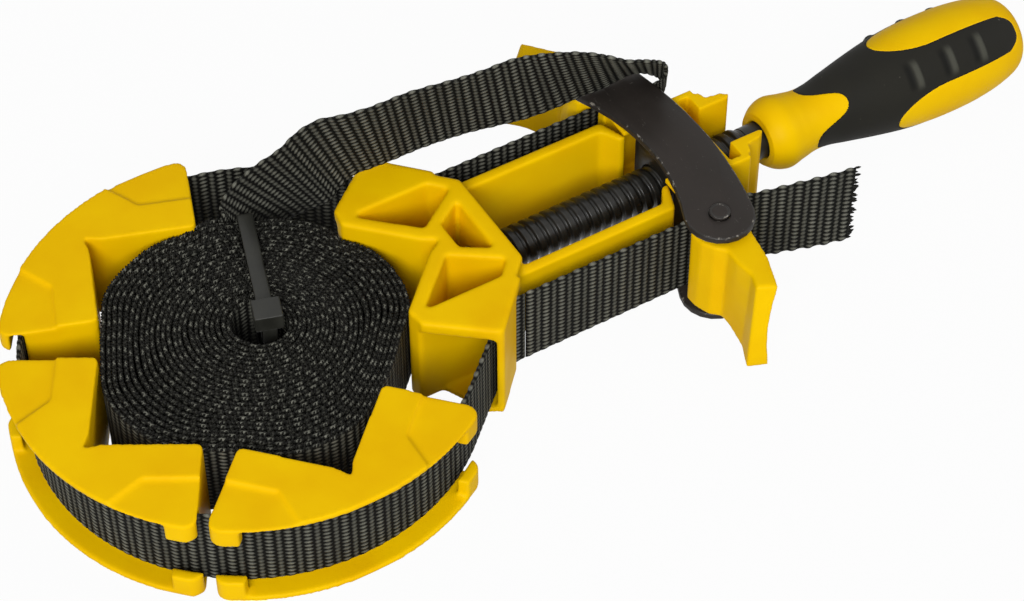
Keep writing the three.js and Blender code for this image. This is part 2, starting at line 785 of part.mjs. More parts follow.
function camLever(side, turnDegrees) {
  const levels = 4;
  const turn = turnDegrees * degree;
  const rings = Array.from({ length: levels + 1 }, (_, i) => {
    const z = leverBottom + (leverTop - leverBottom) * i / levels;
    return leverLevel(i / levels).map(([front, out]) => {
      const f = front * Math.cos(turn) + out * Math.sin(turn);
      const o = out * Math.cos(turn) - front * Math.sin(turn);
      return new THREE.Vector3(rivetX - f, side * (rivetY + o), z);
    });
  });
  const hole = uprightRod(
    rivetRadius + clearance, rivetX, side * rivetY, leverBottom - overrun, leverTop + overrun, rodSegments,
  );
  return geometryOf(cut(solidOf(levelSkin(rings)), hole));
}

// Band round the jaws: straight through the head's slots, then tangent to the ring.
function loopLine() {
  const bendX = flangeEndX - guideWall - bandThickness / 2;
  const bend = [bendX, bandLineY];
  const distance = Math.hypot(...bend);
  const leave = Math.atan2(bend[1], bend[0]) + Math.acos(bandRadius / distance);
  const steps = Math.round(ringSegments * 3 / 4);
  const arc = Array.from({ length: steps + 1 }, (_, i) => {
    const angle = leave + (2 * Math.PI - 2 * leave) * i / steps;
    return [bandRadius * Math.cos(angle), bandRadius * Math.sin(angle)];
  });
  const start = [flangeRearX, bandLineY];
  const softBend = roundedCorner(start, bend, arc[0], bandThickness * 2);
  const near = softBend.map(([x, y]) => [x, -y]).reverse();
  return [start, ...softBend, ...arc, ...near, [flangeRearX, -bandLineY]];
}

function bandLoop() {
  return geometryOf(uprightStrip(loopLine(), bandThickness, bandBottom, bandTop));
}

function bandRun(side) {
  const line = [[flangeRearX + clearance, side * bandLineY], [runEndX, side * bandLineY]];
  return geometryOf(uprightStrip(line, bandThickness, bandBottom, bandTop));
}

// Loose stretches follow stations of the band's middle and of its lean. The shares are of the
// rivet's place along X and Y, or of the jaws' outer radius inside the ring, and of a height along Z.
const tailShares = [
  [1.1, -0.822, 1.002, 0, 0], [1.14, -0.87, 1.004, 0, 0.01], [1.2, -0.935, 1.006, 0.02, 0.03],
  [1.27, -1.015, 1.01, 0.05, 0.06], [1.345, -1.085, 1.02, 0.07, 0.08],
];
const freeShares = [
  [1.086, 0.828, 0.476, -0.04, -0.04], [1.112, 0.815, 0.56, -0.15, -0.2], [1.124, 0.7, 0.88, -0.27, -0.45],
  [1.112, 0.62, 1.14, -0.33, -0.47], [1.07, 0.61, 1.29, -0.4, -0.49], [1.029, 0.66, 1.335, -0.43, -0.48],
  [0.993, 0.705, 1.355, -0.4, -0.38], [0.951, 0.745, 1.37, -0.364, -0.256],
  [0.903, 0.79, 1.385, -0.33, -0.17], [0.838, 0.83, 1.395, -0.276, -0.06],
  [0.772, 0.865, 1.402, -0.19, -0.03], [0.707, 0.9, 1.4, -0.2, -0.08], [0.638, 0.945, 1.4, -0.18, -0.12],
  [0.532, 1.0, 1.4, -0.2, -0.09], [0.455, 1.005, 1.4, -0.22, -0.08], [0.4, 1.025, 1.4, -0.3, -0.03],
];
const freeRingShares = [
  [0.656, 0.495, 1.392, -0.34, 0.05], [0.589, 0.514, 1.29, -0.4, 0.12], [0.536, 0.55, 1.1, -0.48, 0.16],
  [0.46, 0.6, 0.95, -0.56, 0.12], [0.365, 0.64, 0.78, -0.6, 0.02], [0.285, 0.645, 0.62, -0.5, -0.08],
  [0.226, 0.62, 0.51, -0.19, -0.04],
];

// Edge points of the band from shares of its middle's place and the X and Y parts of its lean.
function edgePoints(shares, [unitX, unitY, unitZ]) {
  return shares.map(([x, y, z, leanX, leanY]) => {
    const middle = new THREE.Vector3(x * unitX, y * unitY, z * unitZ);
    const lean = new THREE.Vector3(leanX, leanY, Math.sqrt(1 - leanX ** 2 - leanY ** 2));
    const half = lean.multiplyScalar(bandWidth / 2);
    return [middle.clone().sub(half), middle.clone().add(half)];
  });
}

function uprightEdges(x, y) {
  return [new THREE.Vector3(x, y, bandBottom), new THREE.Vector3(x, y, bandTop)];
}

function looseBand(edges, stepsPerStation) {
  const lower = edges.map(([low]) => low);
  const upper = edges.map(([, high]) => high);
  return ribbon(lower, upper, bandThickness, (edges.length - 1) * stepsPerStation);
}

function bandTail() {
  const start = uprightEdges(runEndX + clearance, -bandLineY);
  return looseBand([start, ...edgePoints(tailShares, [rivetX, rivetY, bandMiddle])], 2);
}

function bandFreeRun() {
  const start = uprightEdges(runEndX + clearance, bandLineY);
  const [x, y] = coilPoint(0);
  const away = (coilEndAngle - 1) * degree;
  const end = [
    new THREE.Vector3(Math.hypot(x, y) * Math.cos(away), Math.hypot(x, y) * Math.sin(away), coilBottom),
    new THREE.Vector3(Math.hypot(x, y) * Math.cos(away), Math.hypot(x, y) * Math.sin(away), coilTop),
  ];
  const beside = edgePoints(freeShares, [rivetX, rivetY, headHeight]);
  const inside = edgePoints(freeRingShares, [jawOuterRadius, jawOuterRadius, headHeight]);
  return looseBand([start, ...beside, ...inside, end], 3);
}

// Where the coil's outer turns stand out: the V notches of jaws and head, and the open gap.
function bulgeAt(angle) {
  const places = [0, openGapAngle, ...jawAngles];
  const spread = bulgeSpread * degree;
  return places.reduce((most, place) => {
    const off = Math.atan2(Math.sin(angle - place * degree), Math.cos(angle - place * degree));
    return Math.max(most, Math.exp(-((off / spread) ** 4)));
  }, 0);
}

// The coil's middle line, from its outer end inwards, as one spiral.
function coilPoint(step) {
  const turn = step / coilSteps;
  const angle = coilEndAngle * degree + turn * 2 * Math.PI;
  const share = turn / coilLoops;
  const outer = 1 - THREE.MathUtils.smoothstep(share, 0, 1 / 3);
  const radius = THREE.MathUtils.lerp(coilOuterRadius, coilInnerRadius, share) + coilBulge * bulgeAt(angle) * outer;
  return [holeX * share + radius * Math.cos(angle), holeY * share + radius * Math.sin(angle)];
}

function bandCoil() {
  const count = coilLoops * coilSteps;
  const line = Array.from({ length: count + 1 }, (_, i) => coilPoint(i));
  const rings = line.map(([x, y], i) => {
    const [x0, y0] = line[Math.max(i - 1, 0)];
    const [x1, y1] = line[Math.min(i + 1, count)];
    const side = new THREE.Vector3(y0 - y1, x1 - x0, 0).setLength(coilThickness / 2);
    const low = new THREE.Vector3(x, y, coilBottom);
    const high = new THREE.Vector3(x, y, coilTop);
    return [low.clone().add(side), high.clone().add(side), high.clone().sub(side), low.clone().sub(side)];
  });
  console.log('least gap in the coil:', leastCoilGap(line).toFixed(2), 'mm');
  return ringSkin(rings);
}

// Least distance between a point of one turn and the facets of the next, less the strip's thickness.
function leastCoilGap(line) {
  let least = Infinity;
  for (let i = 0; i + coilSteps + 2 < line.length; i++) {
    const p = new THREE.Vector3(...line[i], 0);
    for (let k = i + coilSteps - 2; k <= i + coilSteps + 1; k++) {
      const facet = new THREE.Line3(new THREE.Vector3(...line[k], 0), new THREE.Vector3(...line[k + 1], 0));
      least = Math.min(least, facet.closestPointToPoint(p, true, new THREE.Vector3()).distanceTo(p));
    }
  }
  return least - coilThickness;
}

// Cable tie: a flat loop that stands in the coil's hole and goes round all its turns.
function tieLoop(grow) {
  const run = Math.hypot(tieEndX - tieStartX, tieEndY - tieStartY);
  const low = coilBottom - clearance;
  const high = coilTop + clearance;
  const frame = (inset) => [
    [-inset, low - inset], [run + inset, low - inset], [run + inset, high + inset], [-inset, high + inset],
  ];
  const ringRows = (inset, round) => rounded(frame(inset).map(([u, v]) => [u, v, round]));
  const upright = (rows, width) => {
    const shape = new THREE.Shape(rows.map(([u, v]) => new THREE.Vector2(u, v)));
    const geometry = new THREE.ExtrudeGeometry(shape, { depth: width, bevelEnabled: false });
    geometry.translate(0, 0, -width / 2).rotateX(Math.PI / 2);
    return solidOf(geometry);
  };
  const width = tieWidth + 2 * grow;
  const outer = upright(ringRows(tieThickness + grow, tieThickness + grow), width);
  const inner = upright(ringRows(-grow, tieThickness / 2), width + 2 * overrun);
  return cut(outer, inner);
}

function placedAlongTie(solid) {
  const geometry = geometryOf(solid);
  geometry.rotateZ(Math.atan2(tieEndY - tieStartY, tieEndX - tieStartX));
  return geometry.translate(tieStartX, tieStartY, 0);
}

function tieHead() {
  const half = tieHeadLength / 2;
  const width = tieHeadWidth / 2;
  const low = coilTop + clearance;
  const block = box(-half, half, -width, width, low, low + tieHeadHeight);
  return placedAlongTie(cut(block, tieLoop(clearance)));
}

// Finishes of the pieces
const finishes = {
  yellowPlastic: { color: 0xe6b800, roughness: 0.42, metalness: 0 },
  softGrip: { color: 0x323230, roughness: 0.78, metalness: 0 },
  plateSteel: { color: 0x3a3532, roughness: 0.38, metalness: 0.6 },
  screwSteel: { color: 0x1c1b1a, roughness: 0.3, metalness: 0.8 },
  plainSteel: { color: 0x8c8a86, roughness: 0.4, metalness: 0.9 },
  webbing: { color: 0x23221f, roughness: 0.85, metalness: 0 },
  tieNylon: { color: 0x2b2c2e, roughness: 0.5, metalness: 0 },
};

function piece(name, finish, geometry) {
  const mesh = new THREE.Mesh(geometry, new THREE.MeshStandardMaterial(finishes[finish]));
  mesh.name = name;
  return mesh;
}

function ringOfJaws() {
  const shape = cornerJaw();
  return jawAngles.map((angle, i) => {
    const jaw = piece(`corner_jaw_${i + 1}`, 'yellowPlastic', shape.clone());
    jaw.rotation.z = angle * degree;
    return jaw;
  });
}

const clamp = new THREE.Group();
clamp.add(
  piece('front_head', 'yellowPlastic', frontHead()),
  piece('spindle', 'screwSteel', spindleShape()),
  piece('thrust_washer', 'plainSteel', thrustWasher()),
  piece('retaining_clip', 'plainSteel', retainingClip()),
  piece('handle_core', 'yellowPlastic', handleCore()),
  piece('handle_grip', 'softGrip', handleGrip()),
  piece('top_plate', 'plateSteel', framePlate(plateInnerHigh)),
  piece('bottom_plate', 'plateSteel', framePlate(0)),
  piece('near_rivet', 'plateSteel', rivet(-rivetY)),
  piece('far_rivet', 'plateSteel', rivet(rivetY)),
  piece('spindle_nut', 'plateSteel', spindleNut()),
  piece('guide_block', 'yellowPlastic', guideBlock()),
  piece('near_cam_lever', 'yellowPlastic', camLever(-1, 0)),
  piece('far_cam_lever', 'yellowPlastic', camLever(1, farLeverTurn)),
  ...ringOfJaws(),
  piece('band_loop', 'webbing', bandLoop()),
  piece('band_near_run', 'webbing', bandRun(-1)),
  piece('band_far_run', 'webbing', bandRun(1)),
  piece('band_tail', 'webbing', bandTail()),
  piece('band_free_run', 'webbing', bandFreeRun()),
  piece('band_coil', 'webbing', bandCoil()),
  piece('tie_strap', 'tieNylon', placedAlongTie(tieLoop(0))),
  piece('tie_head', 'tieNylon', tieHead()),
);

// The origin moves to the middle of the clamp's footprint, on the floor.
const bounds = new THREE.Box3().setFromObject(clamp, true);
const centre = bounds.getCenter(new THREE.Vector3());
clamp.position.set(-centre.x, -centre.y, -bounds.min.z);

export default clamp;
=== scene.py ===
# %% [markdown]
# # A band clamp with a screw tensioner
#
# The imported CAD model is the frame: every piece has its place there, in metres. This script
# gives each piece its looks. It loads the frame, sets the camera, makes the finishes, and
# then dresses the clamp piece by piece, from the yellow mouldings to the woven band.

# %% Load the frame
import bpy
import bmesh
import json
import math
import numpy as np
from mathutils import Matrix, Vector

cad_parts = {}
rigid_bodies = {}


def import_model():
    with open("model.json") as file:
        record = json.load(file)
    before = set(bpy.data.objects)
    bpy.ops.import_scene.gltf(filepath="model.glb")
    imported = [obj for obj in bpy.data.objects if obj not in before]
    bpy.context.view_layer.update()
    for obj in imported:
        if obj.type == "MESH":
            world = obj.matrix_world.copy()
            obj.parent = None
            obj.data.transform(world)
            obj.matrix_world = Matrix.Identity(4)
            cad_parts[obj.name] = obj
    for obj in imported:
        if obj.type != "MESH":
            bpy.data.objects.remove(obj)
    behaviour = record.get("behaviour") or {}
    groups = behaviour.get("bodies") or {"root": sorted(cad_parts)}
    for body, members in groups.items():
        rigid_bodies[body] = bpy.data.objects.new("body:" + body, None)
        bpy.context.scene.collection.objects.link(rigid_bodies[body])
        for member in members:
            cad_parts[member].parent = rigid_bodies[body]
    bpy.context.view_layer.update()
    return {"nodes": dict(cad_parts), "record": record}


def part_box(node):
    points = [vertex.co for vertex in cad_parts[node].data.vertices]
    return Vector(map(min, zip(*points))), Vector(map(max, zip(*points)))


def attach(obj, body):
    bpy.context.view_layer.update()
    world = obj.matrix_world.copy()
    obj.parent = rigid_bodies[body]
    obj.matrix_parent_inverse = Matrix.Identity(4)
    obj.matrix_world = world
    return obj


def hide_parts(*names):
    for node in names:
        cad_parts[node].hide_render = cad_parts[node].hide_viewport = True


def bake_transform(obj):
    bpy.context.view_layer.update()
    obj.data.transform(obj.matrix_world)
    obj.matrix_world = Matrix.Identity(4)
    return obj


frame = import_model()
nodes = frame["nodes"]
print("nodes in the frame:", len(nodes))

# %% [markdown]
# The clamp's own measures start at the middle of its ring of jaws, in millimetres, because
# that is how its drawings are read. `place` takes such a point to the frame's metres.

# %% From the clamp's millimetres to the frame
MM = 0.001
RING_X = -88.0
SCREW_HEIGHT = 15.65


def place(x, y, z):
    return Vector(((x + RING_X) * MM, y * MM, z * MM))


def linked(name, data):
    """A new object in the scene."""
    made = bpy.data.objects.new(name, data)
    bpy.context.scene.collection.objects.link(made)
    return made


print("ring centre:", tuple(place(0, 0, 0)))

# %% [markdown]
# The camera comes first. It stands where the photographer stood: to the left of the jaws
# and high above the bench, with a long lens.

# %% Camera
CAMERA_PLACE = place(-182.7, -436.7, 560.5)
CAMERA_RIGHT = Vector((0.8583, -0.5132, -0.0029))
CAMERA_UP = Vector((0.3835, 0.6376, 0.6681))
LENS = 99.02

camera_data = bpy.data.cameras.new("camera")
camera_data.lens = LENS
camera_data.sensor_width = 36.0
camera_data.clip_end = 20.0
camera = linked("camera", camera_data)
right = CAMERA_RIGHT.normalized()
back = right.cross(CAMERA_UP).normalized()
turn = Matrix((right, back.cross(right), back)).transposed().to_4x4()
camera.matrix_world = Matrix.Translation(CAMERA_PLACE) @ turn
bpy.context.scene.camera = camera
print("camera at", [round(c, 3) for c in CAMERA_PLACE])

# %% [markdown]
# A node tree is easier to read when each node is one line. `node` adds a node and fills its
# inputs in order: a socket is linked, and anything else is set as a value.

# %% Helpers for node trees


def node(tree, kind, *values, **settings):
    made = tree.nodes.new(kind)
    for key, value in settings.items():
        setattr(made, key, value)
    for slot, value in zip(made.inputs, values):
        if isinstance(value, bpy.types.NodeSocket):
            tree.links.new(value, slot)
        elif value is not None:
            slot.default_value = value
    return made


def maths(tree, operation, *values):
    return node(tree, "ShaderNodeMath", *values, operation=operation).outputs[0]


def times(tree, *values):
    return maths(tree, "MULTIPLY", *values)


def plus(tree, *values):
    return maths(tree, "ADD", *values)


def minus(tree, *values):
    return maths(tree, "SUBTRACT", *values)


def blend_colours(tree, share, first, second):
    made = tree.nodes.new("ShaderNodeMix")
    made.data_type = "RGBA"
    for slot, value in ((made.inputs[0], share), (made.inputs[6], first), (made.inputs[7], second)):
        if isinstance(value, bpy.types.NodeSocket):
            tree.links.new(value, slot)
        else:
            slot.default_value = value
    return made.outputs[2]


def srgb(red, green, blue):
    def linear(c):
        c = c / 255
        return c / 12.92 if c <= 0.04045 else ((c + 0.055) / 1.055) ** 2.4
    return (linear(red), linear(green), linear(blue), 1.0)


def new_finish(name, roughness, metallic=0.0, specular=0.5):
    finish = bpy.data.materials.new(name)
    finish.use_nodes = True
    tree = finish.node_tree
    shader = tree.nodes["Principled BSDF"]
    shader.inputs["Roughness"].default_value = roughness
    shader.inputs["Metallic"].default_value = metallic
    shader.inputs["Specular IOR Level"].default_value = specular
    place_on = tree.nodes.new("ShaderNodeTexCoord").outputs["Object"]
    return finish, tree, shader, place_on


def noise(tree, where, scale, detail=2.0, roughness=0.5):
    made = node(tree, "ShaderNodeTexNoise", where)
    made.inputs["Scale"].default_value = scale
    made.inputs["Detail"].default_value = detail
    made.inputs["Roughness"].default_value = roughness
    return made.outputs["Fac"]


def bump(tree, shader, height, distance, strength=1.0):
    made = tree.nodes.new("ShaderNodeBump")
    made.inputs["Strength"].default_value = strength
    made.inputs["Distance"].default_value = distance
    tree.links.new(height, made.inputs["Height"])
    tree.links.new(made.outputs["Normal"], shader.inputs["Normal"])


def coat(tree, shader, colour, roughness):
    tree.links.new(colour, shader.inputs["Base Color"])
    tree.links.new(roughness, shader.inputs["Roughness"])


def stretched(tree, where, *shares):
    return node(tree, "ShaderNodeVectorMath", where, shares, operation="MULTIPLY").outputs[0]


def between(tree, value, low, high, low_out=0.0, high_out=1.0):
    made = node(tree, "ShaderNodeMapRange", value, low, high, low_out, high_out)
    made.clamp = True
    return made.outputs[0]


print("helpers ready")

# %% [markdown]
# The yellow mouldings are glass-filled nylon with a satin skin. The colour is one tone, so
# what makes it look real is the skin: a faint cloudiness in the gloss, a fine orange-peel
# bump, and thin scuffs where the clamp has rubbed in its box.

# %% Yellow plastic
YELLOW = srgb(234, 189, 0)
YELLOW_DEEP = srgb(227, 177, 0)


def yellow_plastic():
    finish, tree, shader, where = new_finish("yellow_plastic", 0.5, specular=0.05)
    cloud = noise(tree, where, 55.0, 3.0)
    colour = blend_colours(tree, between(tree, cloud, 0.35, 0.7), YELLOW, YELLOW_DEEP)
    streak = noise(tree, stretched(tree, where, 1.0, 7.0, 2.0), 130.0, 4.0, 0.7)
    scuff = between(tree, streak, 0.60, 0.72)
    satin = between(tree, cloud, 0.3, 0.7, 0.44, 0.54)
    coat(tree, shader, colour, plus(tree, satin, times(tree, scuff, 0.12)))
    peel = plus(tree, noise(tree, where, 1500.0, 2.0), times(tree, scuff, -0.6))
    bump(tree, shader, peel, 0.00003, 0.5)
    return finish


YELLOW_PLASTIC = yellow_plastic()
print("made", YELLOW_PLASTIC.name)

# %% [markdown]
# The handle's sleeve is a soft rubber. It scatters light from a fine, even grain, so it has a
# high roughness and a bump of small cells, with a few grey specks of dust. The mesh carries
# two numbers for it: a painted highlight on the ribs' tops, and painted shade along the sleeve's edge and
# on each rib's collar side.

# %% Soft grip


def soft_grip():
    finish, tree, shader, where = new_finish("soft_grip", 0.68, specular=0.12)
    cloud = noise(tree, where, 80.0, 3.0)
    colour = blend_colours(tree, between(tree, cloud, 0.3, 0.75), srgb(27, 26, 22), srgb(34, 33, 28))
    dust = between(tree, noise(tree, where, 900.0, 1.0), 0.79, 0.82)
    colour = blend_colours(tree, dust, colour, srgb(96, 93, 84))
    # Painted highlight: the ribs' tops are painted paler, where the lamps would catch them.
    ridge_and_highlight = node(tree, "ShaderNodeAttribute", attribute_name="ridge_and_highlight").outputs["Fac"]
    colour = blend_colours(tree, ridge_and_highlight, colour, srgb(70, 70, 62))
    # Painted shade: dark along the sleeve's edge and on each rib's collar side.
    painted_shade = node(tree, "ShaderNodeAttribute", attribute_name="painted_shade").outputs["Fac"]
    colour = blend_colours(tree, painted_shade, colour, srgb(8, 8, 6))
    coat(tree, shader, colour, between(tree, cloud, 0.3, 0.7, 0.6, 0.74))
    bump(tree, shader, noise(tree, where, 2600.0, 2.0), 0.00004, 0.6)
    return finish


SOFT_GRIP = soft_grip()
print("made", SOFT_GRIP.name)

# %% [markdown]
# Three steels. The frame's plates are browned and oiled, with the brown rubbed off along
# their edges. The screw and its nut are blackened and wet with oil. The washer and the clip
# are left plain, with the fine lines that turning leaves.

# %% Steels


def plate_steel():
    finish, tree, shader, where = new_finish("plate_steel", 0.5, specular=0.14)
    cloud = noise(tree, where, 60.0, 5.0, 0.6)
    colour = blend_colours(tree, between(tree, cloud, 0.3, 0.7), srgb(41, 37, 34), srgb(48, 43, 40))
    streak = noise(tree, stretched(tree, where, 9.0, 1.0, 2.0), 150.0, 3.0, 0.7)
    scratch = between(tree, streak, 0.68, 0.74)
    speck = between(tree, noise(tree, where, 1100.0, 2.0), 0.72, 0.76)
    mark = maths(tree, "MAXIMUM", scratch, speck)
    worn = blend_colours(tree, times(tree, mark, 0.35), colour, srgb(104, 100, 94))
    coat(tree, shader, worn, between(tree, cloud, 0.3, 0.7, 0.46, 0.56))
    bump(tree, shader, noise(tree, where, 700.0, 4.0), 0.00003, 0.5)
    return finish


def worn_edge():
    finish, tree, shader, where = new_finish("worn_edge", 0.4, metallic=0.2, specular=0.3)
    wear_and_highlight = between(tree, noise(tree, where, 520.0, 4.0, 0.7), 0.57, 0.64)
    colour = blend_colours(tree, wear_and_highlight, srgb(38, 35, 32), srgb(128, 123, 114))
    coat(tree, shader, colour, between(tree, wear_and_highlight, 0.0, 1.0, 0.42, 0.3))
    bump(tree, shader, noise(tree, where, 1200.0, 3.0), 0.00003, 0.6)
    return finish


def screw_steel():
    finish, tree, shader, where = new_finish("screw_steel", 0.36, metallic=0.0, specular=0.3)
    cloud = noise(tree, where, 260.0, 4.0, 0.6)
    colour = blend_colours(tree, between(tree, cloud, 0.35, 0.7), srgb(22, 21, 19), srgb(34, 33, 29))
    coat(tree, shader, colour, between(tree, cloud, 0.3, 0.7, 0.28, 0.42))
    bump(tree, shader, noise(tree, where, 1400.0, 3.0), 0.00003, 0.5)
    return finish


def plain_steel():
    finish, tree, shader, where = new_finish("plain_steel", 0.38, metallic=1.0)
    line = noise(tree, stretched(tree, where, 1.0, 12.0, 12.0), 260.0, 3.0, 0.6)
    share = between(tree, line, 0.3, 0.7)
    colour = blend_colours(tree, share, srgb(128, 126, 122), srgb(158, 156, 152))
    coat(tree, shader, colour, between(tree, line, 0.3, 0.7, 0.3, 0.45))
    bump(tree, shader, line, 0.00002, 0.5)
    return finish


PLATE_STEEL, WORN_EDGE = plate_steel(), worn_edge()
SCREW_STEEL, PLAIN_STEEL = screw_steel(), plain_steel()
print("made", PLATE_STEEL.name, WORN_EDGE.name, SCREW_STEEL.name, PLAIN_STEEL.name)

# %% [markdown]
# The band is black polyester webbing. Ribs run across it in pairs, a wide one and a narrow one
# every 4.7 mm, and each rib is a ladder of short yarns, 18 over the width. `weave_pattern` is
# that rule, from 0 in the valleys to 1 on the crowns. The finish takes from it a painted shade
# in the valleys and a painted grey highlight on the crowns, and the mesh its relief. Both read
# millimetres along and across the band, so the weave follows every bend.

# %% Webbing finish
PAIR_PITCH = 4.7
YARN_PITCH = 25 / 18
# A rib's centre and half width as shares of the pitch, its yarns' lean, and the gaps' depth.
WIDE_RIB, NARROW_RIB = (0.27, 0.27, 0.45, 0.85), (0.77, 0.19, -0.45, 0.6)
NARROW_HEIGHT = 0.85


def weave_pattern(tree, along, across, pair_pitch, yarn_pitch):
    """Wide ribs and narrow ribs, each a row of slim bumps that lean one way, from 0 to 1."""
    share = maths(tree, "FRACT", maths(tree, "DIVIDE", along, pair_pitch))
    yarns = maths(tree, "DIVIDE", across, yarn_pitch)
    ribs = []
    for centre, half, lean, gap in (WIDE_RIB, NARROW_RIB):
        off = maths(tree, "DIVIDE", minus(tree, share, centre), half)
        turns = plus(tree, yarns, times(tree, share, lean))
        wave = maths(tree, "COSINE", times(tree, turns, 2 * math.pi))
        between_yarns = maths(tree, "MULTIPLY_ADD", wave, -0.5 * gap, 0.5 * gap)
        lost = plus(tree, times(tree, off, off), between_yarns)
        ribs.append(maths(tree, "SQRT", maths(tree, "MAXIMUM", minus(tree, 1.0, lost), 0.0)))
    return plus(tree, ribs[0], times(tree, ribs[1], NARROW_HEIGHT))


def webbing_finish():
    finish, tree, shader, where = new_finish("webbing", 0.62, specular=0.12)
    weave = node(tree, "ShaderNodeUVMap", uv_map="weave").outputs[0]
    parts = node(tree, "ShaderNodeSeparateXYZ", weave)
    crown = weave_pattern(tree, parts.outputs[0], parts.outputs[1], PAIR_PITCH, YARN_PITCH)
    fibre = noise(tree, stretched(tree, weave, 1.6, 7.0, 1.0), 1.0, 3.0, 0.65)
    # Painted highlight: the yarns' crowns are painted grey, where the lamps would catch their sheen.
    wear_and_highlight = maths(tree, "POWER", crown, 2.4)
    painted_sheen = times(tree, wear_and_highlight, between(tree, fibre, 0.3, 0.75, 0.4, 1.0))
    cloud = between(tree, noise(tree, where, 70.0, 3.0), 0.3, 0.7, 0.7, 1.0)
    lit = times(tree, painted_sheen, cloud)
    # From painted shade in the valleys to the painted grey highlight on the crowns.
    colour = blend_colours(tree, lit, srgb(7, 7, 5), srgb(140, 140, 128))
    coat(tree, shader, colour, between(tree, painted_sheen, 0.0, 1.0, 0.8, 0.5))
    height = plus(tree, crown, times(tree, fibre, 0.25))
    bump(tree, shader, height, 0.00035, 0.9)
    return finish


WEBBING = webbing_finish()
print("made", WEBBING.name)

# %% [markdown]
# The cable tie is dark grey nylon, smoother than the mouldings, with a faint cloudiness in its tone.

# %% Tie nylon


def tie_nylon():
    finish, tree, shader, where = new_finish("tie_nylon", 0.45, specular=0.3)
    cloud = noise(tree, where, 200.0, 3.0)
    colour = blend_colours(tree, between(tree, cloud, 0.3, 0.7), srgb(31, 31, 27), srgb(41, 41, 36))
    coat(tree, shader, colour, between(tree, cloud, 0.3, 0.7, 0.38, 0.5))
    bump(tree, shader, noise(tree, where, 1500.0, 2.0), 0.00003, 0.5)
    return finish


TIE_NYLON = tie_nylon()
print("made", TIE_NYLON.name)

# %% [markdown]
# The band's side edge shows the yarns end on: small dark loops, each with a point of light.

# %% Webbing edge


def webbing_edge():
    finish, tree, shader, where = new_finish("webbing_edge", 0.4, specular=0.1)
    patch = noise(tree, where, 900.0, 2.0, 0.7)
    colour = blend_colours(tree, between(tree, patch, 0.3, 0.75), srgb(2, 2, 1), srgb(30, 29, 25))
    coat(tree, shader, colour, between(tree, patch, 0.3, 0.7, 0.32, 0.5))
    bump(tree, shader, noise(tree, where, 4000.0, 2.0), 0.00004, 0.6)
    return finish


WEBBING_EDGE = webbing_edge()
print("made", WEBBING_EDGE.name)

# %% [markdown]
# Moulded and pressed pieces have no knife edges. A CAD node comes as loose triangles, so a
# copy of it is merged and its flat faces are joined. Each sharp edge then gets its own round,
# as wide as asked, but never more than the faces beside it have room for. `room_beside`
# measures that room: how far it is, straight into the face, to the face's other side.

# %% Rounded copies of CAD nodes
SHARP = math.radians(33)


def room_beside(edge, face):
    start, end = edge.verts[0].co, edge.verts[1].co
    along = (end - start).normalized()
    inward = face.normal.cross(along)
    if inward.dot(face.calc_center_median() - start) < 0:
        inward = -inward
    least = math.inf
    for share in (0.25, 0.5, 0.75):
        origin = start.lerp(end, share)
        for other in face.edges:
            if other is edge:
                continue
            a, b = (v.co - origin for v in other.verts)
            a_along, b_along = a.dot(along), b.dot(along)
            if (a_along > 0) == (b_along > 0):
                continue
            share_between = a_along / (a_along - b_along)
            depth = a.dot(inward) * (1 - share_between) + b.dot(inward) * share_between
            if depth > 1e-6:
                least = min(least, depth)
    return least


def body_of(node_name):
    """The body that the record gives a CAD node."""
    bodies = frame["record"]["behaviour"]["bodies"]
    return next(body for body, names in bodies.items() if node_name in names)


def dress(piece, node_name, body):
    """The piece stands in for a CAD node, on a body."""
    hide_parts(node_name)
    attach(piece, body)


def mesh_piece(name, mesh, *finishes):
    piece = linked(name, mesh)
    for finish in finishes:
        mesh.materials.append(finish)
    return piece


def applied(piece):
    """The piece with its modifiers turned into plain mesh."""
    bpy.context.view_layer.update()
    graph = bpy.context.evaluated_depsgraph_get()
    final = piece.evaluated_get(graph)
    mesh = bpy.data.meshes.new_from_object(final, preserve_all_data_layers=True, depsgraph=graph)
    piece.modifiers.clear()
    piece.data = mesh
    mesh.name = piece.name
    return piece


def rounded_copy(node_name, radius_mm, finish, edge_finish=None, segments=3):
    radius = radius_mm * MM
    work = bmesh.new()
    work.from_mesh(nodes[node_name].data)
    bmesh.ops.remove_doubles(work, verts=work.verts, dist=2e-6)
    bmesh.ops.dissolve_limit(work, angle_limit=math.radians(1), verts=work.verts, edges=work.edges)
    weight = work.edges.layers.float.new("bevel_weight_edge")
    for edge in work.edges:
        if len(edge.link_faces) == 2 and edge.calc_face_angle(0) > SHARP:
            room = min(room_beside(edge, face) for face in edge.link_faces)
            edge[weight] = min(1.0, 0.45 * room / radius)
    mesh = bpy.data.meshes.new(node_name + "_looks")
    work.to_mesh(mesh)
    work.free()
    mesh.shade_smooth()
    piece = mesh_piece(node_name + "_looks", mesh, finish, *([edge_finish] if edge_finish else []))
    bevel = piece.modifiers.new("round", "BEVEL")
    bevel.limit_method = "WEIGHT"
    bevel.width = radius
    bevel.segments = segments
    bevel.use_clamp_overlap = False
    bevel.harden_normals = True
    bevel.miter_outer = "MITER_ARC"
    bevel.material = 1 if edge_finish else -1
    dress(applied(piece), node_name, body_of(node_name))


# %% [markdown]
# The mouldings: the V head with its arms, the three corner jaws, the guide block and the two
# cam levers. Plastic fills its mould with no sharp edge at all, inside or out. So each solid is
# skinned again on a fine, even grid, and the skin is relaxed: flat faces stay flat, and every
# edge and every inner corner turns into a soft round. More rounds of relaxing, more softness.

# %% Yellow mouldings
# Millimetres between the grid's points, and rounds of relaxing.
SKIN_GRIDS = {
    "front_head": (0.58, 7), "corner_jaw_1": (0.5, 8), "corner_jaw_2": (0.5, 8),
    "corner_jaw_3": (0.5, 8), "guide_block": (0.42, 4), "near_cam_lever": (0.42, 16),
    "far_cam_lever": (0.42, 16),
}


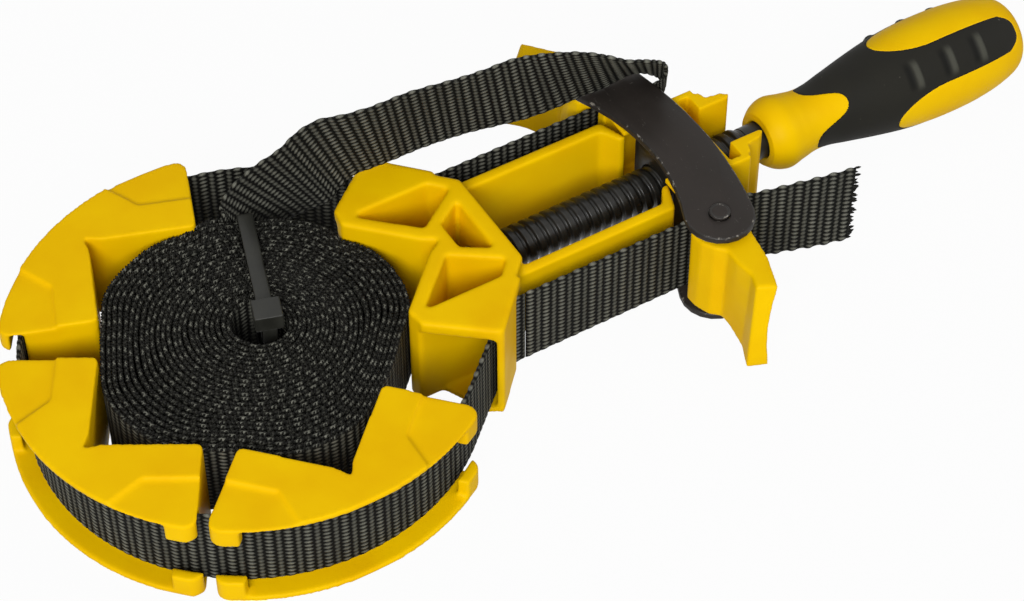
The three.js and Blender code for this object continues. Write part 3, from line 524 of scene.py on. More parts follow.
def soft_copy(node_name, grid_mm, rounds):
    work = bmesh.new()
    work.from_mesh(nodes[node_name].data)
    bmesh.ops.remove_doubles(work, verts=work.verts, dist=2e-6)
    mesh = bpy.data.meshes.new(node_name + "_looks")
    work.to_mesh(mesh)
    work.free()
    piece = mesh_piece(node_name + "_looks", mesh, YELLOW_PLASTIC)
    skin = piece.modifiers.new("skin", "REMESH")
    skin.mode = "VOXEL"
    skin.voxel_size = grid_mm * MM
    skin.use_smooth_shade = True
    relax = piece.modifiers.new("relax", "SMOOTH")
    relax.factor = 0.5
    relax.iterations = rounds
    dress(applied(piece), node_name, body_of(node_name))
    print(node_name, len(piece.data.polygons), "faces")


for name, sizes in SKIN_GRIDS.items():
    soft_copy(name, *sizes)

# %% [markdown]
# The pressed frame plates have rubbed edges, so their rounds get a finish of their own. The
# rivets hold both plates, and their heads are turned to a low dome with a ring round it.

# %% Plates and hidden steel
for name in ("top_plate", "bottom_plate"):
    rounded_copy(name, 0.55, PLATE_STEEL, WORN_EDGE)
rounded_copy("spindle_nut", 0.3, SCREW_STEEL, segments=2)
for name in ("thrust_washer", "retaining_clip"):
    rounded_copy(name, 0.3, PLAIN_STEEL, segments=2)
print("plates, nut, washer and clip made")

# %% [markdown]
# A turned piece is a list of rows, each a place along its axis and a radius, swept round the
# axis. `ring_mesh` joins the rings, for the upright rivets and for what turns with the screw.

# %% Turned pieces


def tidy_mesh(mesh):
    """Loose points away, normals outward."""
    work = bmesh.new()
    work.from_mesh(mesh)
    loose = [v for v in work.verts if not v.link_faces]
    bmesh.ops.delete(work, geom=loose, context="VERTS")
    bmesh.ops.recalc_face_normals(work, faces=work.faces)
    work.to_mesh(mesh)
    work.free()


def ring_mesh(name, rings):
    """Joins rings of points, all with the same count, into a closed skin."""
    count, size = len(rings), len(rings[0])
    points = [tuple(p) for ring in rings for p in ring]
    faces = []
    for i in range(count - 1):
        for j in range(size):
            k = (j + 1) % size
            faces.append((i * size + j, i * size + k, (i + 1) * size + k, (i + 1) * size + j))
    faces.append(tuple(range(size)))
    faces.append(tuple((count - 1) * size + j for j in reversed(range(size))))
    mesh = bpy.data.meshes.new(name)
    mesh.from_pydata(points, [], faces)
    tidy_mesh(mesh)
    mesh.shade_smooth()
    return mesh


def mark_sharp(mesh, degrees):
    mesh.set_sharp_from_angle(angle=math.radians(degrees))


# Rows of a rivet: millimetres below its top, and a share of its head's radius.
RIVET_ROWS = [
    (0.9, 0.8), (0.85, 0.97), (0.6, 1), (0.3, 0.97), (0.14, 0.9), (0.18, 0.82), (0.22, 0.76),
    (0.12, 0.7), (0.05, 0.55), (0, 0.25), (0, 0.03),
]
WORN_DEPTH, WORN_FROM, WORN_TO = 0.32, 0.72, 0.99


def rivet(node_name):
    low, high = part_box(node_name)
    centre = Vector(((low[0] + high[0]) / 2, (low[1] + high[1]) / 2, 0))
    head = (high[0] - low[0]) / 2
    rows = [(low[2], head * 0.8 * 0.92), (low[2] + 0.2 * MM, head * 0.8)]
    rows += [(high[2] - down * MM, head * share) for down, share in RIVET_ROWS]
    angles = np.linspace(0, 2 * math.pi, 40, endpoint=False)
    rings = [[
        (centre.x + radius * math.cos(a), centre.y + radius * math.sin(a), z) for a in angles
    ] for z, radius in rows]
    name = node_name + "_looks"
    piece = mesh_piece(name, ring_mesh(name, rings), PLATE_STEEL, WORN_EDGE)
    mark_sharp(piece.data, 50)
    for face in piece.data.polygons:
        reach = (Vector(face.center) - centre).xy.length
        if face.center[2] > high[2] - WORN_DEPTH * MM and WORN_FROM * head < reach < WORN_TO * head:
            face.material_index = 1
    dress(piece, node_name, body_of(node_name))


rivet("near_rivet")
rivet("far_rivet")
print("rivets made")

# %% [markdown]
# A screw thread is one rule: the radius depends only on how far along the screw a point is,
# less its share of a turn. So the thread is a Geometry Nodes tree. A flat grid is rolled into
# a tube, and each point is set to the radius that the rule gives. The grid's seam is merged
# at the end, and a change of pitch or radius is one number.

# %% Thread tree


class Tree:
    """A Geometry Nodes group with named float inputs."""

    def __init__(self, name, inputs):
        self.group = bpy.data.node_groups.new(name, "GeometryNodeTree")
        face = self.group.interface
        face.new_socket("Geometry", in_out="INPUT", socket_type="NodeSocketGeometry")
        self.ids = {}
        for label, value in inputs.items():
            socket = face.new_socket(label, in_out="INPUT", socket_type="NodeSocketFloat")
            socket.default_value = value
            self.ids[label] = socket.identifier
        face.new_socket("Geometry", in_out="OUTPUT", socket_type="NodeSocketGeometry")
        self.start = self.add("NodeGroupInput")
        self.end = self.add("NodeGroupOutput")

    def add(self, kind, *values, **settings):
        return node(self.group, kind, *values, **settings)

    def link(self, value, slot):
        self.group.links.new(value, slot)

    def maths(self, operation, *values):
        return maths(self.group, operation, *values)

    def times(self, *values):
        return times(self.group, *values)

    def plus(self, *values):
        return plus(self.group, *values)

    def minus(self, *values):
        return minus(self.group, *values)

    def value(self, label):
        return self.start.outputs[label]

    def named(self, label, kind="FLOAT"):
        return self.add("GeometryNodeInputNamedAttribute", label, data_type=kind).outputs[0]

    def finish(self, geometry, finish):
        real = self.add("GeometryNodeRealizeInstances", geometry).outputs[0]
        coated = self.add("GeometryNodeSetMaterial", real, None, finish).outputs[0]
        self.group.links.new(coated, self.end.inputs[0])

    def run(self, name, mesh, **values):
        piece = linked(name, mesh)
        modifier = piece.modifiers.new(self.group.name, "NODES")
        modifier.node_group = self.group
        for label, value in values.items():
            modifier[self.ids[label.replace("_", " ")]] = float(value)
        return applied(piece)


THREAD_GRID = (385, 49)
CREST_SHARE, FLANK_STEEPNESS, RUN_OUT = 0.45, 3.4, 0.0025


def thread_tree():
    tree = Tree("thread", {
        "crest radius": 0.0059, "root radius": 0.005, "pitch": 0.00325, "length": 0.0776,
    })
    crest, root, length = (tree.value(label) for label in ("crest radius", "root radius", "length"))
    grid = tree.add("GeometryNodeMeshGrid", length, 1.0, *THREAD_GRID)
    parts = tree.add("ShaderNodeSeparateXYZ", tree.add("GeometryNodeInputPosition").outputs[0])
    along, share = parts.outputs[0], parts.outputs[1]
    turns = tree.minus(tree.maths("DIVIDE", along, tree.value("pitch")), share)
    wave = tree.maths("COSINE", tree.times(turns, 2 * math.pi))
    steep = tree.times(tree.plus(wave, CREST_SHARE), FLANK_STEEPNESS)
    soft = tree.maths("TANH", steep)
    middle = tree.times(tree.plus(crest, root), 0.5)
    half = tree.times(tree.minus(crest, root), 0.5)
    half_length = tree.times(length, 0.5)
    from_end = tree.minus(half_length, tree.maths("ABSOLUTE", along))
    fade = between(tree.group, from_end, 0.0, RUN_OUT)
    lifted = tree.minus(tree.times(tree.plus(soft, 1.0), fade), 1.0)
    radius = tree.plus(middle, tree.times(half, lifted))
    angle = tree.times(share, 2 * math.pi)
    y = tree.times(radius, tree.maths("COSINE", angle))
    z = tree.times(radius, tree.maths("SINE", angle))
    rolled = tree.add("ShaderNodeCombineXYZ", along, y, z).outputs[0]
    tube = tree.add("GeometryNodeSetPosition", grid.outputs[0], None, rolled).outputs[0]
    closed = tree.add("GeometryNodeMergeByDistance", tube, None, None)
    closed.inputs["Distance"].default_value = 1e-6
    smooth = tree.add("GeometryNodeSetShadeSmooth", closed.outputs[0]).outputs[0]
    tree.finish(smooth, SCREW_STEEL)
    return tree


THREAD = thread_tree()
print("thread tree has", len(THREAD.group.nodes), "nodes")

# %% Screw: journal, thread and shank
THREAD_START, THREAD_END = 72.4, 150.0
JOURNAL_ROWS = [
    (61.2, 2.7), (61.7, 3.2), (63.2, 3.2), (63.25, 2.75), (64.0, 2.75), (64.05, 3.2), (72.4, 3.2),
    (72.4, 5.0), (72.6, 5.0),
]
SHANK_ROWS = [(149.7, 5.0), (150.0, 5.0), (150.1, 5.2), (184.0, 5.2)]


def axial_rings(rows, size=48):
    rings = []
    for x, radius in rows:
        ring = [
            place(x, radius * math.cos(a), SCREW_HEIGHT + radius * math.sin(a))
            for a in np.linspace(0, 2 * math.pi, size, endpoint=False)
        ]
        rings.append(ring)
    return rings


def join_meshes(name, parts):
    work = bmesh.new()
    for part in parts:
        work.from_mesh(part)
    mesh = bpy.data.meshes.new(name)
    work.to_mesh(mesh)
    work.free()
    return mesh


def screw():
    length = (THREAD_END - THREAD_START) * MM
    thread = THREAD.run("thread_only", bpy.data.meshes.new("empty"), length=length)
    mesh = thread.data.copy()
    bpy.data.objects.remove(thread)
    mesh.transform(Matrix.Translation(place((THREAD_START + THREAD_END) / 2, 0, SCREW_HEIGHT)))
    front = ring_mesh("journal", axial_rings(JOURNAL_ROWS))
    rear = ring_mesh("shank", axial_rings(SHANK_ROWS))
    mesh = join_meshes("spindle_looks", [mesh, front, rear])
    mesh.materials.clear()
    piece = mesh_piece("spindle_looks", mesh, SCREW_STEEL)
    mesh.shade_smooth()
    mark_sharp(mesh, 55)
    dress(piece, "spindle", "spindle")
    print("screw:", len(mesh.polygons), "faces")


screw()

# %% [markdown]
# The handle is a yellow core with a soft sleeve moulded over it. Both are one turned profile,
# so both are grids of places along and round it. Where the sleeve ends is a signed distance:
# positive on the rubber, negative on the plastic. Grid points close to zero are moved onto
# the line, so that the sleeve's edge is a clean curve, and the core drops under the sleeve.

# %% Handle profile
HANDLE_START, HANDLE_LENGTH = 155.0, 85.0
PROFILE_SHARES = [0, 0.02, 0.06, 0.12, 0.17, 0.22, 0.3, 0.4, 0.5, 0.6, 0.7, 0.8, 0.9, 0.955, 0.985, 1]
PROFILE_RADII = [
    7.6, 9.0, 10.4, 9.675, 8.95, 8.95, 10.22, 11.94, 13.4, 14.3, 14.55, 14.2, 12.9, 11.5, 9.6, 6.6,
]
TONGUE, COLLAR_TONGUE = math.radians(131), math.radians(128)
COLLAR_EDGE, COLLAR_REACH = 168.8, 11.2
PANEL_TIP, PANEL_HALF, PANEL_TIP_LENGTH = 194.0, math.radians(35.7), 16.0
SLEEVE_END, END_SLOPE = 236.0, -3.0
RIDGES, RIDGE_HALF, RIDGE_REACH, RIDGE_HEIGHT = (200.7, 211.9, 222.1), 1.2, 3.9, 1.0
SLEEVE_WALL = 1.4


def smooth_profile():
    """Radius at any place along the handle, by a spline through the drawing's rows."""
    xs = np.array(PROFILE_SHARES) * HANDLE_LENGTH + HANDLE_START
    rs = np.array(PROFILE_RADII)
    slopes = np.gradient(rs, xs)
    chord = lambda i, j: (rs[j] - rs[i]) / (xs[j] - xs[i])
    slopes[-3:] = [chord(-4, -2), chord(-3, -1), END_SLOPE]

    def radius(x):
        x = np.clip(x, xs[0], xs[-1])
        i = np.clip(np.searchsorted(xs, x) - 1, 0, len(xs) - 2)
        h = xs[i + 1] - xs[i]
        t = (x - xs[i]) / h
        return (
            (1 + 2 * t) * (1 - t) ** 2 * rs[i] + t * (1 - t) ** 2 * h * slopes[i]
            + t * t * (3 - 2 * t) * rs[i + 1] + t * t * (t - 1) * h * slopes[i + 1]
        )
    return radius


handle_radius = smooth_profile()
print("widest handle radius:", round(float(handle_radius(np.linspace(155, 240, 300)).max()), 2))


def off_centre(angle, centre):
    """Angle to the nearest of three lines a third of a turn apart, in radians, signed."""
    third = 2 * math.pi / 3
    return (angle - centre + third / 2) % third - third / 2


def sleeve_distance(x, angle):
    """How far a point is inside the sleeve, in millimetres, roughly."""
    radius = handle_radius(x)
    beside = np.abs(off_centre(angle, COLLAR_TONGUE)) * radius
    collar = COLLAR_EDGE + COLLAR_REACH / (1 + np.exp(beside - 4.6))
    from_collar = (x - collar) * 0.75
    from_panel_line = np.abs(off_centre(angle, TONGUE + math.pi / 3)) * radius
    share = np.clip((x - PANEL_TIP) / PANEL_TIP_LENGTH, 0, 1)
    half = PANEL_HALF * radius * np.sqrt(1 - (1 - share) ** 2)
    beyond = np.where(x > PANEL_TIP, from_panel_line - half, np.hypot(x - PANEL_TIP, from_panel_line))
    around = np.abs(off_centre(angle, TONGUE)) * radius
    tongue_half = np.maximum((math.pi / 3 - PANEL_HALF) * radius, 2.0)
    end = SLEEVE_END - 4.0 * np.clip(around / tongue_half, 0, 1) ** 3
    return np.minimum(np.minimum(from_collar, beyond), (end - x) * 0.9)


def ridge_shape(x, angle, shift=0.0):
    """Three short ribs across each tongue, from 0 to 1; shift moves them towards the collar."""
    around = off_centre(angle, TONGUE) * handle_radius(x)
    shape = np.zeros_like(x)
    for centre in RIDGES:
        off = (x - centre + shift) / RIDGE_HALF
        shape += np.exp(-off ** 4 - ((around - 0.6) / RIDGE_REACH) ** 6)
    return shape


# %% Handle core and sleeve
ALONG_COUNT, ROUND_COUNT = 230, 240
# How far the core drops under the sleeve, from where, and over what distance, in millimetres.
CORE_DROP, DROP_FROM, DROP_OVER = 1.75, 0.15, 0.35
SNAP_REACH, SNAP_ROUNDS, LEAST_SLOPE = 0.3, 3, 0.3
# The last number is how far the painted shade reaches from the sleeve's edge, in millimetres.
SWELL, SWELL_OVER, SINK, EDGE_SHADE_REACH = 0.16, 0.6, 0.02, 0.35


def handle_grid():
    x = np.linspace(HANDLE_START, HANDLE_START + HANDLE_LENGTH, ALONG_COUNT)
    angle = np.linspace(0, 2 * math.pi, ROUND_COUNT, endpoint=False)
    return np.meshgrid(x, angle, indexing="ij")


def handle_points(x, angle, radius):
    y = radius * np.cos(angle)
    z = SCREW_HEIGHT + radius * np.sin(angle)
    return np.stack([(x + RING_X) * MM, y * MM, z * MM], axis=-1)


def core():
    x, angle = handle_grid()
    depth = CORE_DROP * np.clip((sleeve_distance(x, angle) - DROP_FROM) / DROP_OVER, 0, 1)
    rings = handle_points(x, angle, handle_radius(x) - depth)
    bore = axial_rings([(155.0, 5.7), (156.0, 5.5), (182.0, 5.5)], ROUND_COUNT)
    front = axial_rings([(155.2, 7.3), (155.0, 7.0), (155.0, 5.9)], ROUND_COUNT)
    end = HANDLE_START + HANDLE_LENGTH
    back = [
        handle_points(np.full(ROUND_COUNT, end + beyond), angle[0], np.full(ROUND_COUNT, radius))
        for beyond, radius in ((0.35, 3.6), (0.55, 2.2), (0.6, 0.8))
    ]
    all_rings = list(reversed(bore)) + list(reversed(front)) + list(rings) + back
    mesh = ring_mesh("handle_core_looks", all_rings)
    piece = mesh_piece("handle_core_looks", mesh, YELLOW_PLASTIC)
    dress(piece, "handle_core", "spindle")
    print("handle core:", len(mesh.polygons), "faces")


def snapped_grid():
    """Grid points near the sleeve's edge moved onto it."""
    x, angle = handle_grid()
    step = 0.02
    for _ in range(SNAP_ROUNDS):
        here = sleeve_distance(x, angle)
        radius = handle_radius(x)
        ahead, aside = (step, 0), (0, step / radius)
        by_x, by_angle = (
            (sleeve_distance(x + dx, angle + turn) - sleeve_distance(x - dx, angle - turn)) / (2 * step)
            for dx, turn in (ahead, aside)
        )
        size = np.maximum(by_x ** 2 + by_angle ** 2, LEAST_SLOPE)
        near = np.abs(here) < SNAP_REACH
        x = np.where(near, x - here * by_x / size, x)
        angle = np.where(near, angle - here * by_angle / size / radius, angle)
    return x, angle


def shell(points, inner, faces):
    """A closed wall between an open grid of faces and its inner copy."""
    count, rim = len(points), set()
    for face in faces:
        for edge in zip(face, face[1:] + face[:1]):
            rim.symmetric_difference_update([tuple(sorted(edge))])
    back = [tuple(i + count for i in reversed(face)) for face in faces]
    walls = [(b, a, a + count, b + count) for a, b in rim]
    mesh = bpy.data.meshes.new("handle_grip_looks")
    mesh.from_pydata(np.vstack([points, inner]).tolist(), [], faces + back + walls)
    return mesh


def sleeve_faces(inside):
    faces = []
    for i in range(ALONG_COUNT - 1):
        for j in range(ROUND_COUNT):
            k = (j + 1) % ROUND_COUNT
            if min(inside[i, j], inside[i, k], inside[i + 1, j], inside[i + 1, k]) > -0.12:
                row = i * ROUND_COUNT
                faces.append((row + j, row + k, row + ROUND_COUNT + k, row + ROUND_COUNT + j))
    return faces


def sleeve():
    x, angle = snapped_grid()
    inside = sleeve_distance(x, angle)
    # The ribs' shape lifts the rubber and also sets the painted highlight on their tops.
    ridge_and_highlight = ridge_shape(x, angle)
    lift = SWELL * np.clip(inside / SWELL_OVER, 0, 1) ** 0.5 + RIDGE_HEIGHT * ridge_and_highlight
    outer = handle_points(x, angle, handle_radius(x) + lift - SINK).reshape(-1, 3)
    inner = handle_points(x, angle, handle_radius(x) - SLEEVE_WALL).reshape(-1, 3)
    mesh = shell(outer, inner, sleeve_faces(inside))
    # Painted shade for the finish: dark along the sleeve's edge and on the collar side of each rib.
    painted_shade = 0.9 * np.exp(-(inside / EDGE_SHADE_REACH) ** 2)
    painted_shade = np.maximum(painted_shade, 0.8 * ridge_shape(x, angle, 2.0) * (1 - ridge_and_highlight))
    for name, values in (("ridge_and_highlight", ridge_and_highlight * 0.9), ("painted_shade", painted_shade)):
        data = np.tile(np.clip(values, 0, 1).reshape(-1), 2).astype(np.float32)
        mesh.attributes.new(name, "FLOAT", "POINT").data.foreach_set("value", data)
    tidy_mesh(mesh)
    mesh.shade_smooth()
    piece = mesh_piece("handle_grip_looks", mesh, SOFT_GRIP)
    mark_sharp(piece.data, 60)
    dress(piece, "handle_grip", "spindle")
    print("handle sleeve:", len(piece.data.polygons), "faces")


core()
sleeve()

# %% [markdown]
# All the webbing is made in one way. First comes its middle surface, a grid of points with
# two numbers on each: how far along the band it is and how far across, in millimetres. Then
# a Geometry Nodes tree gives it its body: it pushes one copy out and one copy in along the
# normals, by half the thickness and the height of ribs and yarns, thins both to nothing at
# the selvedges and cut ends, and merges the seam.

# %% Weave tree


def weave_tree():
    tree = Tree("weave", {
        "thickness": 1.4, "width": 25.0, "length": 100.0, "pair pitch": PAIR_PITCH,
        "yarn pitch": YARN_PITCH, "relief": 0.3, "selvedge": 0.9,
    })
    along, across = tree.named("along"), tree.named("across")
    crown = weave_pattern(tree.group, along, across, tree.value("pair pitch"), tree.value("yarn pitch"))
    relief = tree.times(crown, tree.value("relief"))
    to_side = tree.maths("MINIMUM", across, tree.minus(tree.value("width"), across))
    to_end = tree.maths("MINIMUM", along, tree.minus(tree.value("length"), along))
    shares = []
    for reach in (to_side, to_end):
        share = between(tree.group, tree.maths("DIVIDE", reach, tree.value("selvedge")), 0.0, 1.0)
        inside = tree.minus(1.0, share)
        left = tree.minus(1.0, tree.times(inside, inside))
        shares.append(tree.maths("SQRT", tree.maths("MAXIMUM", left, 0.0)))
    half = tree.times(tree.value("thickness"), 0.5)
    body = tree.minus(half, tree.value("relief"))
    full = tree.plus(body, relief)
    offset = tree.times(tree.times(full, tree.times(*shares)), MM)
    normal = tree.add("GeometryNodeInputNormal").outputs[0]
    sheets = []
    for sign in (1.0, -1.0):
        push = tree.add("ShaderNodeVectorMath", normal, operation="SCALE")
        tree.link(tree.times(offset, sign), push.inputs["Scale"])
        moved = tree.add("GeometryNodeSetPosition", tree.value("Geometry"), None, None, push.outputs[0])
        sheet = moved.outputs[0]
        sheets.append(sheet if sign > 0 else tree.add("GeometryNodeFlipFaces", sheet).outputs[0])
    joined = tree.group.nodes.new("GeometryNodeJoinGeometry")
    for sheet in sheets:
        tree.link(sheet, joined.inputs[0])
    merged = tree.add("GeometryNodeMergeByDistance", joined.outputs[0])
    merged.inputs["Distance"].default_value = 4e-6
    smooth = tree.add("GeometryNodeSetShadeSmooth", merged.outputs[0]).outputs[0]
    tree.finish(smooth, WEBBING)
    return tree


WEAVE = weave_tree()
print("weave tree has", len(WEAVE.group.nodes), "nodes")

# %% From two edge lines to woven band
BAND_LOW, BAND_HIGH = 2.0, 27.0
BAND_WIDTH = BAND_HIGH - BAND_LOW


def across_shares(count):
    """Shares over the width, closer together at both selvedges."""
    inner = np.linspace(0.03, 0.97, count)
    edge = np.array([0.0, 0.004, 0.014])
    return np.concatenate([edge, inner, 1 - edge[::-1]])


def resampled(low, high, step):
    """Edge lines as arrays of points, taken again at even steps of their mean length."""
    middle = (low + high) / 2
    reach = np.concatenate([[0], np.cumsum(np.linalg.norm(np.diff(middle, axis=0), axis=1))])
    count = max(4, int(round(reach[-1] / step)))
    at = np.linspace(0, reach[-1], count + 1)
    take = lambda line: np.stack([np.interp(at, reach, line[:, k]) for k in range(3)], axis=1)
    return take(low), take(high), at


def strip_mesh(name, low, high, at, shares, width):
    rows, columns = len(low), len(shares)
    points = low[:, None, :] * (1 - shares)[None, :, None] + high[:, None, :] * shares[None, :, None]
    quads = np.arange(rows * columns).reshape(rows, columns)
    corners = [quads[:-1, :-1], quads[1:, :-1], quads[1:, 1:], quads[:-1, 1:]]
    faces = np.stack(corners, axis=-1).reshape(-1, 4)
    mesh = bpy.data.meshes.new(name)
    mesh.from_pydata((points.reshape(-1, 3) * MM).tolist(), [], faces.tolist())
    along = np.repeat(at, columns)
    across = np.tile(shares * width, rows)
    for label, values in (("along", along), ("across", across)):
        mesh.attributes.new(label, "FLOAT", "POINT").data.foreach_set("value", values.astype(np.float32))
    return mesh


def weave_uv(mesh):
    """A UV map in millimetres along and across, from the two point attributes."""
    count = len(mesh.vertices)
    along, across = np.empty(count, np.float32), np.empty(count, np.float32)
    mesh.attributes["along"].data.foreach_get("value", along)
    mesh.attributes["across"].data.foreach_get("value", across)
    corner = np.empty(len(mesh.loops), np.int32)
    mesh.loops.foreach_get("vertex_index", corner)
    uv = np.stack([along[corner], across[corner]], axis=1)
    layer = mesh.uv_layers.new(name="weave")
    layer.data.foreach_set("uv", uv.reshape(-1))


def wavy(low, high, at, height):
    """The two edge lines, drawn in and let out once for each pair of ribs."""
    side = (high - low) / np.linalg.norm(high - low, axis=1)[:, None]
    wave = height * np.sin(2 * math.pi * at / PAIR_PITCH)[:, None] * side
    return low - wave, high + wave


def woven(name, node_name, low, high, step, columns=60, wave=0.12, **sizes):
    """low and high are edge lines in the clamp's own millimetres."""
    shift = np.array([RING_X, 0, 0])
    low, high, at = resampled(np.asarray(low) + shift, np.asarray(high) + shift, step)
    low, high = wavy(low, high, at, wave)
    mesh = strip_mesh(name, low, high, at, across_shares(columns), BAND_WIDTH)
    piece = WEAVE.run(name, mesh, length=at[-1], width=BAND_WIDTH, **sizes)
    weave_uv(piece.data)
    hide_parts(node_name)
    print(name, round(at[-1]), "mm long,", len(piece.data.polygons), "faces")
    return piece


# %% [markdown]
# The tight band: round the jaws, through the head's slots, and along both arms to the cams.
# It stands upright and follows the drawing's plan. The runs beside the arms cross the joint
# between head and frame, and are left on neither body.

# %% Band round the jaws and beside the arms
LINE_Y = 24.308
BAND_RADIUS = 58.4
SLOT_BEND_X = 59.5
SLOT_REAR_X = 66.0
CAM_X = 128.3


def upright(line):
    low = np.array([[x, y, BAND_LOW] for x, y in line])
    high = np.array([[x, y, BAND_HIGH] for x, y in line])
    return low, high


def loop_line():
    reach = math.hypot(SLOT_BEND_X, LINE_Y)
    leave = math.atan2(LINE_Y, SLOT_BEND_X) + math.acos(BAND_RADIUS / reach)
    angles = np.linspace(leave, 2 * math.pi - leave, 300)
    arc = [(BAND_RADIUS * math.cos(a), BAND_RADIUS * math.sin(a)) for a in angles]
    first = [(SLOT_REAR_X, LINE_Y), (SLOT_BEND_X + 1.2, LINE_Y)]
    soft = [(SLOT_BEND_X + 0.4, LINE_Y + 0.1), (SLOT_BEND_X - 0.3, LINE_Y + 0.7)]
    last = [(x, -y) for x, y in reversed(first + soft)]
    return first + soft + arc + last


band_loop = woven("band_loop_looks", "band_loop", *upright(loop_line()), step=0.5, columns=54)
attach(band_loop, "head")
for side, name in ((-1, "band_near_run"), (1, "band_far_run")):
    line = [(SLOT_REAR_X + 0.1, side * LINE_Y), (CAM_X, side * LINE_Y)]
    run = woven(name + "_looks", name, *upright(line), step=0.4)
    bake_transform(run)

# %% [markdown]
# The loose band is a twisted strip. Its two edge lines pass through stations taken from the
# drawing: the middle of the band and the lean of its width at each. A centripetal spline
# joins them, because it neither loops nor overshoots where stations are close together.

# %% Loose stations
BESIDE = (121.7, 29.7, 31.3)
BEHIND = (121.7, 29.7, 14.5)
INSIDE = (64.0, 64.0, 31.3)
TAIL_STATIONS = [
    (1.1, -0.822, 1.002, 0, 0), (1.14, -0.87, 1.004, 0, 0.01), (1.2, -0.935, 1.006, 0.02, 0.03),
    (1.27, -1.015, 1.01, 0.05, 0.06), (1.345, -1.085, 1.02, 0.07, 0.08),
]
FREE_STATIONS = [
    (1.086, 0.828, 0.476, -0.04, -0.04), (1.112, 0.815, 0.56, -0.15, -0.2),
    (1.124, 0.7, 0.88, -0.27, -0.45), (1.112, 0.62, 1.14, -0.33, -0.47),
    (1.07, 0.61, 1.29, -0.4, -0.49), (1.029, 0.66, 1.335, -0.43, -0.48),
    (0.993, 0.705, 1.355, -0.4, -0.38), (0.951, 0.745, 1.37, -0.364, -0.256),
    (0.903, 0.79, 1.385, -0.33, -0.17), (0.838, 0.83, 1.395, -0.276, -0.06),
    (0.772, 0.865, 1.402, -0.19, -0.03), (0.707, 0.9, 1.4, -0.2, -0.08),
    (0.638, 0.945, 1.4, -0.18, -0.12), (0.532, 1.0, 1.4, -0.2, -0.09), (0.455, 1.005, 1.4, -0.22, -0.08),
    (0.4, 1.025, 1.4, -0.3, -0.03),
]
RING_STATIONS = [
    (0.656, 0.495, 1.392, -0.34, 0.05), (0.589, 0.514, 1.29, -0.4, 0.12), (0.536, 0.55, 1.1, -0.48, 0.16),
    (0.46, 0.6, 0.95, -0.56, 0.12), (0.365, 0.64, 0.78, -0.6, 0.02), (0.285, 0.645, 0.62, -0.5, -0.08),
    (0.226, 0.62, 0.51, -0.19, -0.04),
]


def station_edges(stations, unit):
    low, high = [], []
    for x, y, z, lean_x, lean_y in stations:
        middle = np.array([x, y, z]) * unit
        lean = np.array([lean_x, lean_y, math.sqrt(1 - lean_x ** 2 - lean_y ** 2)])
        low.append(middle - lean * BAND_WIDTH / 2)
        high.append(middle + lean * BAND_WIDTH / 2)
    return low, high


def spline(points, steps=24):
    """A centripetal Catmull-Rom curve through the points."""
    p = np.asarray(points, float)
    p = np.vstack([2 * p[0] - p[1], p, 2 * p[-1] - p[-2]])
    line = []
    for a, b, c, d in zip(p[:-3], p[1:-2], p[2:-1], p[3:]):
        t1 = max(np.linalg.norm(b - a), 1e-6) ** 0.5
        t2 = t1 + max(np.linalg.norm(c - b), 1e-6) ** 0.5
        t3 = t2 + max(np.linalg.norm(d - c), 1e-6) ** 0.5
        for t in np.linspace(t1, t2, steps, endpoint=False):
            ab = a + (b - a) * t / t1
            bc = b + (c - b) * (t - t1) / (t2 - t1)
            cd = c + (d - c) * (t - t2) / (t3 - t2)
            abc = ab + (bc - ab) * t / t2
            bcd = bc + (cd - bc) * (t - t1) / (t3 - t1)
            line.append(abc + (bcd - abc) * (t - t1) / (t2 - t1))
    line.append(p[-2])
    return np.array(line)


# %% Tail and free run
COIL_LOW = 1.8
COIL_END = math.radians(75)
COIL_REACH = 40.4


def loose_band(first, *runs, last=None):
    low, high = [np.array([*first, BAND_LOW])], [np.array([*first, BAND_HIGH])]
    for stations, unit in runs:
        more_low, more_high = station_edges(stations, unit)
        low, high = low + more_low, high + more_high
    if last:
        low.append(np.array([*last, COIL_LOW]))
        high.append(np.array([*last, COIL_LOW + BAND_WIDTH]))
    return spline(low), spline(high)


tail_edges = loose_band((CAM_X + 0.3, -LINE_Y), (TAIL_STATIONS, BEHIND))
tail = woven("band_tail_looks", "band_tail", *tail_edges, step=0.4, wave=0.3)
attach(tail, "frame")
coil_join = (COIL_REACH * math.cos(COIL_END), COIL_REACH * math.sin(COIL_END))
free_edges = loose_band(
    (CAM_X + 0.3, LINE_Y), (FREE_STATIONS, BESIDE), (RING_STATIONS, INSIDE), last=coil_join,
)
free_run = woven("band_free_run_looks", "band_free_run", *free_edges, step=0.45)
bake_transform(free_run)

# %% [markdown]
# Yarn ends are many small, alike shapes, so they are one Geometry Nodes tree. It puts a slim
# ball on each point of a mesh, turned to the point's own direction, each a little different in
# size. It makes both the loops on the coil's upper edge and the frayed yarns at the cut end.

# %% Yarn end tree


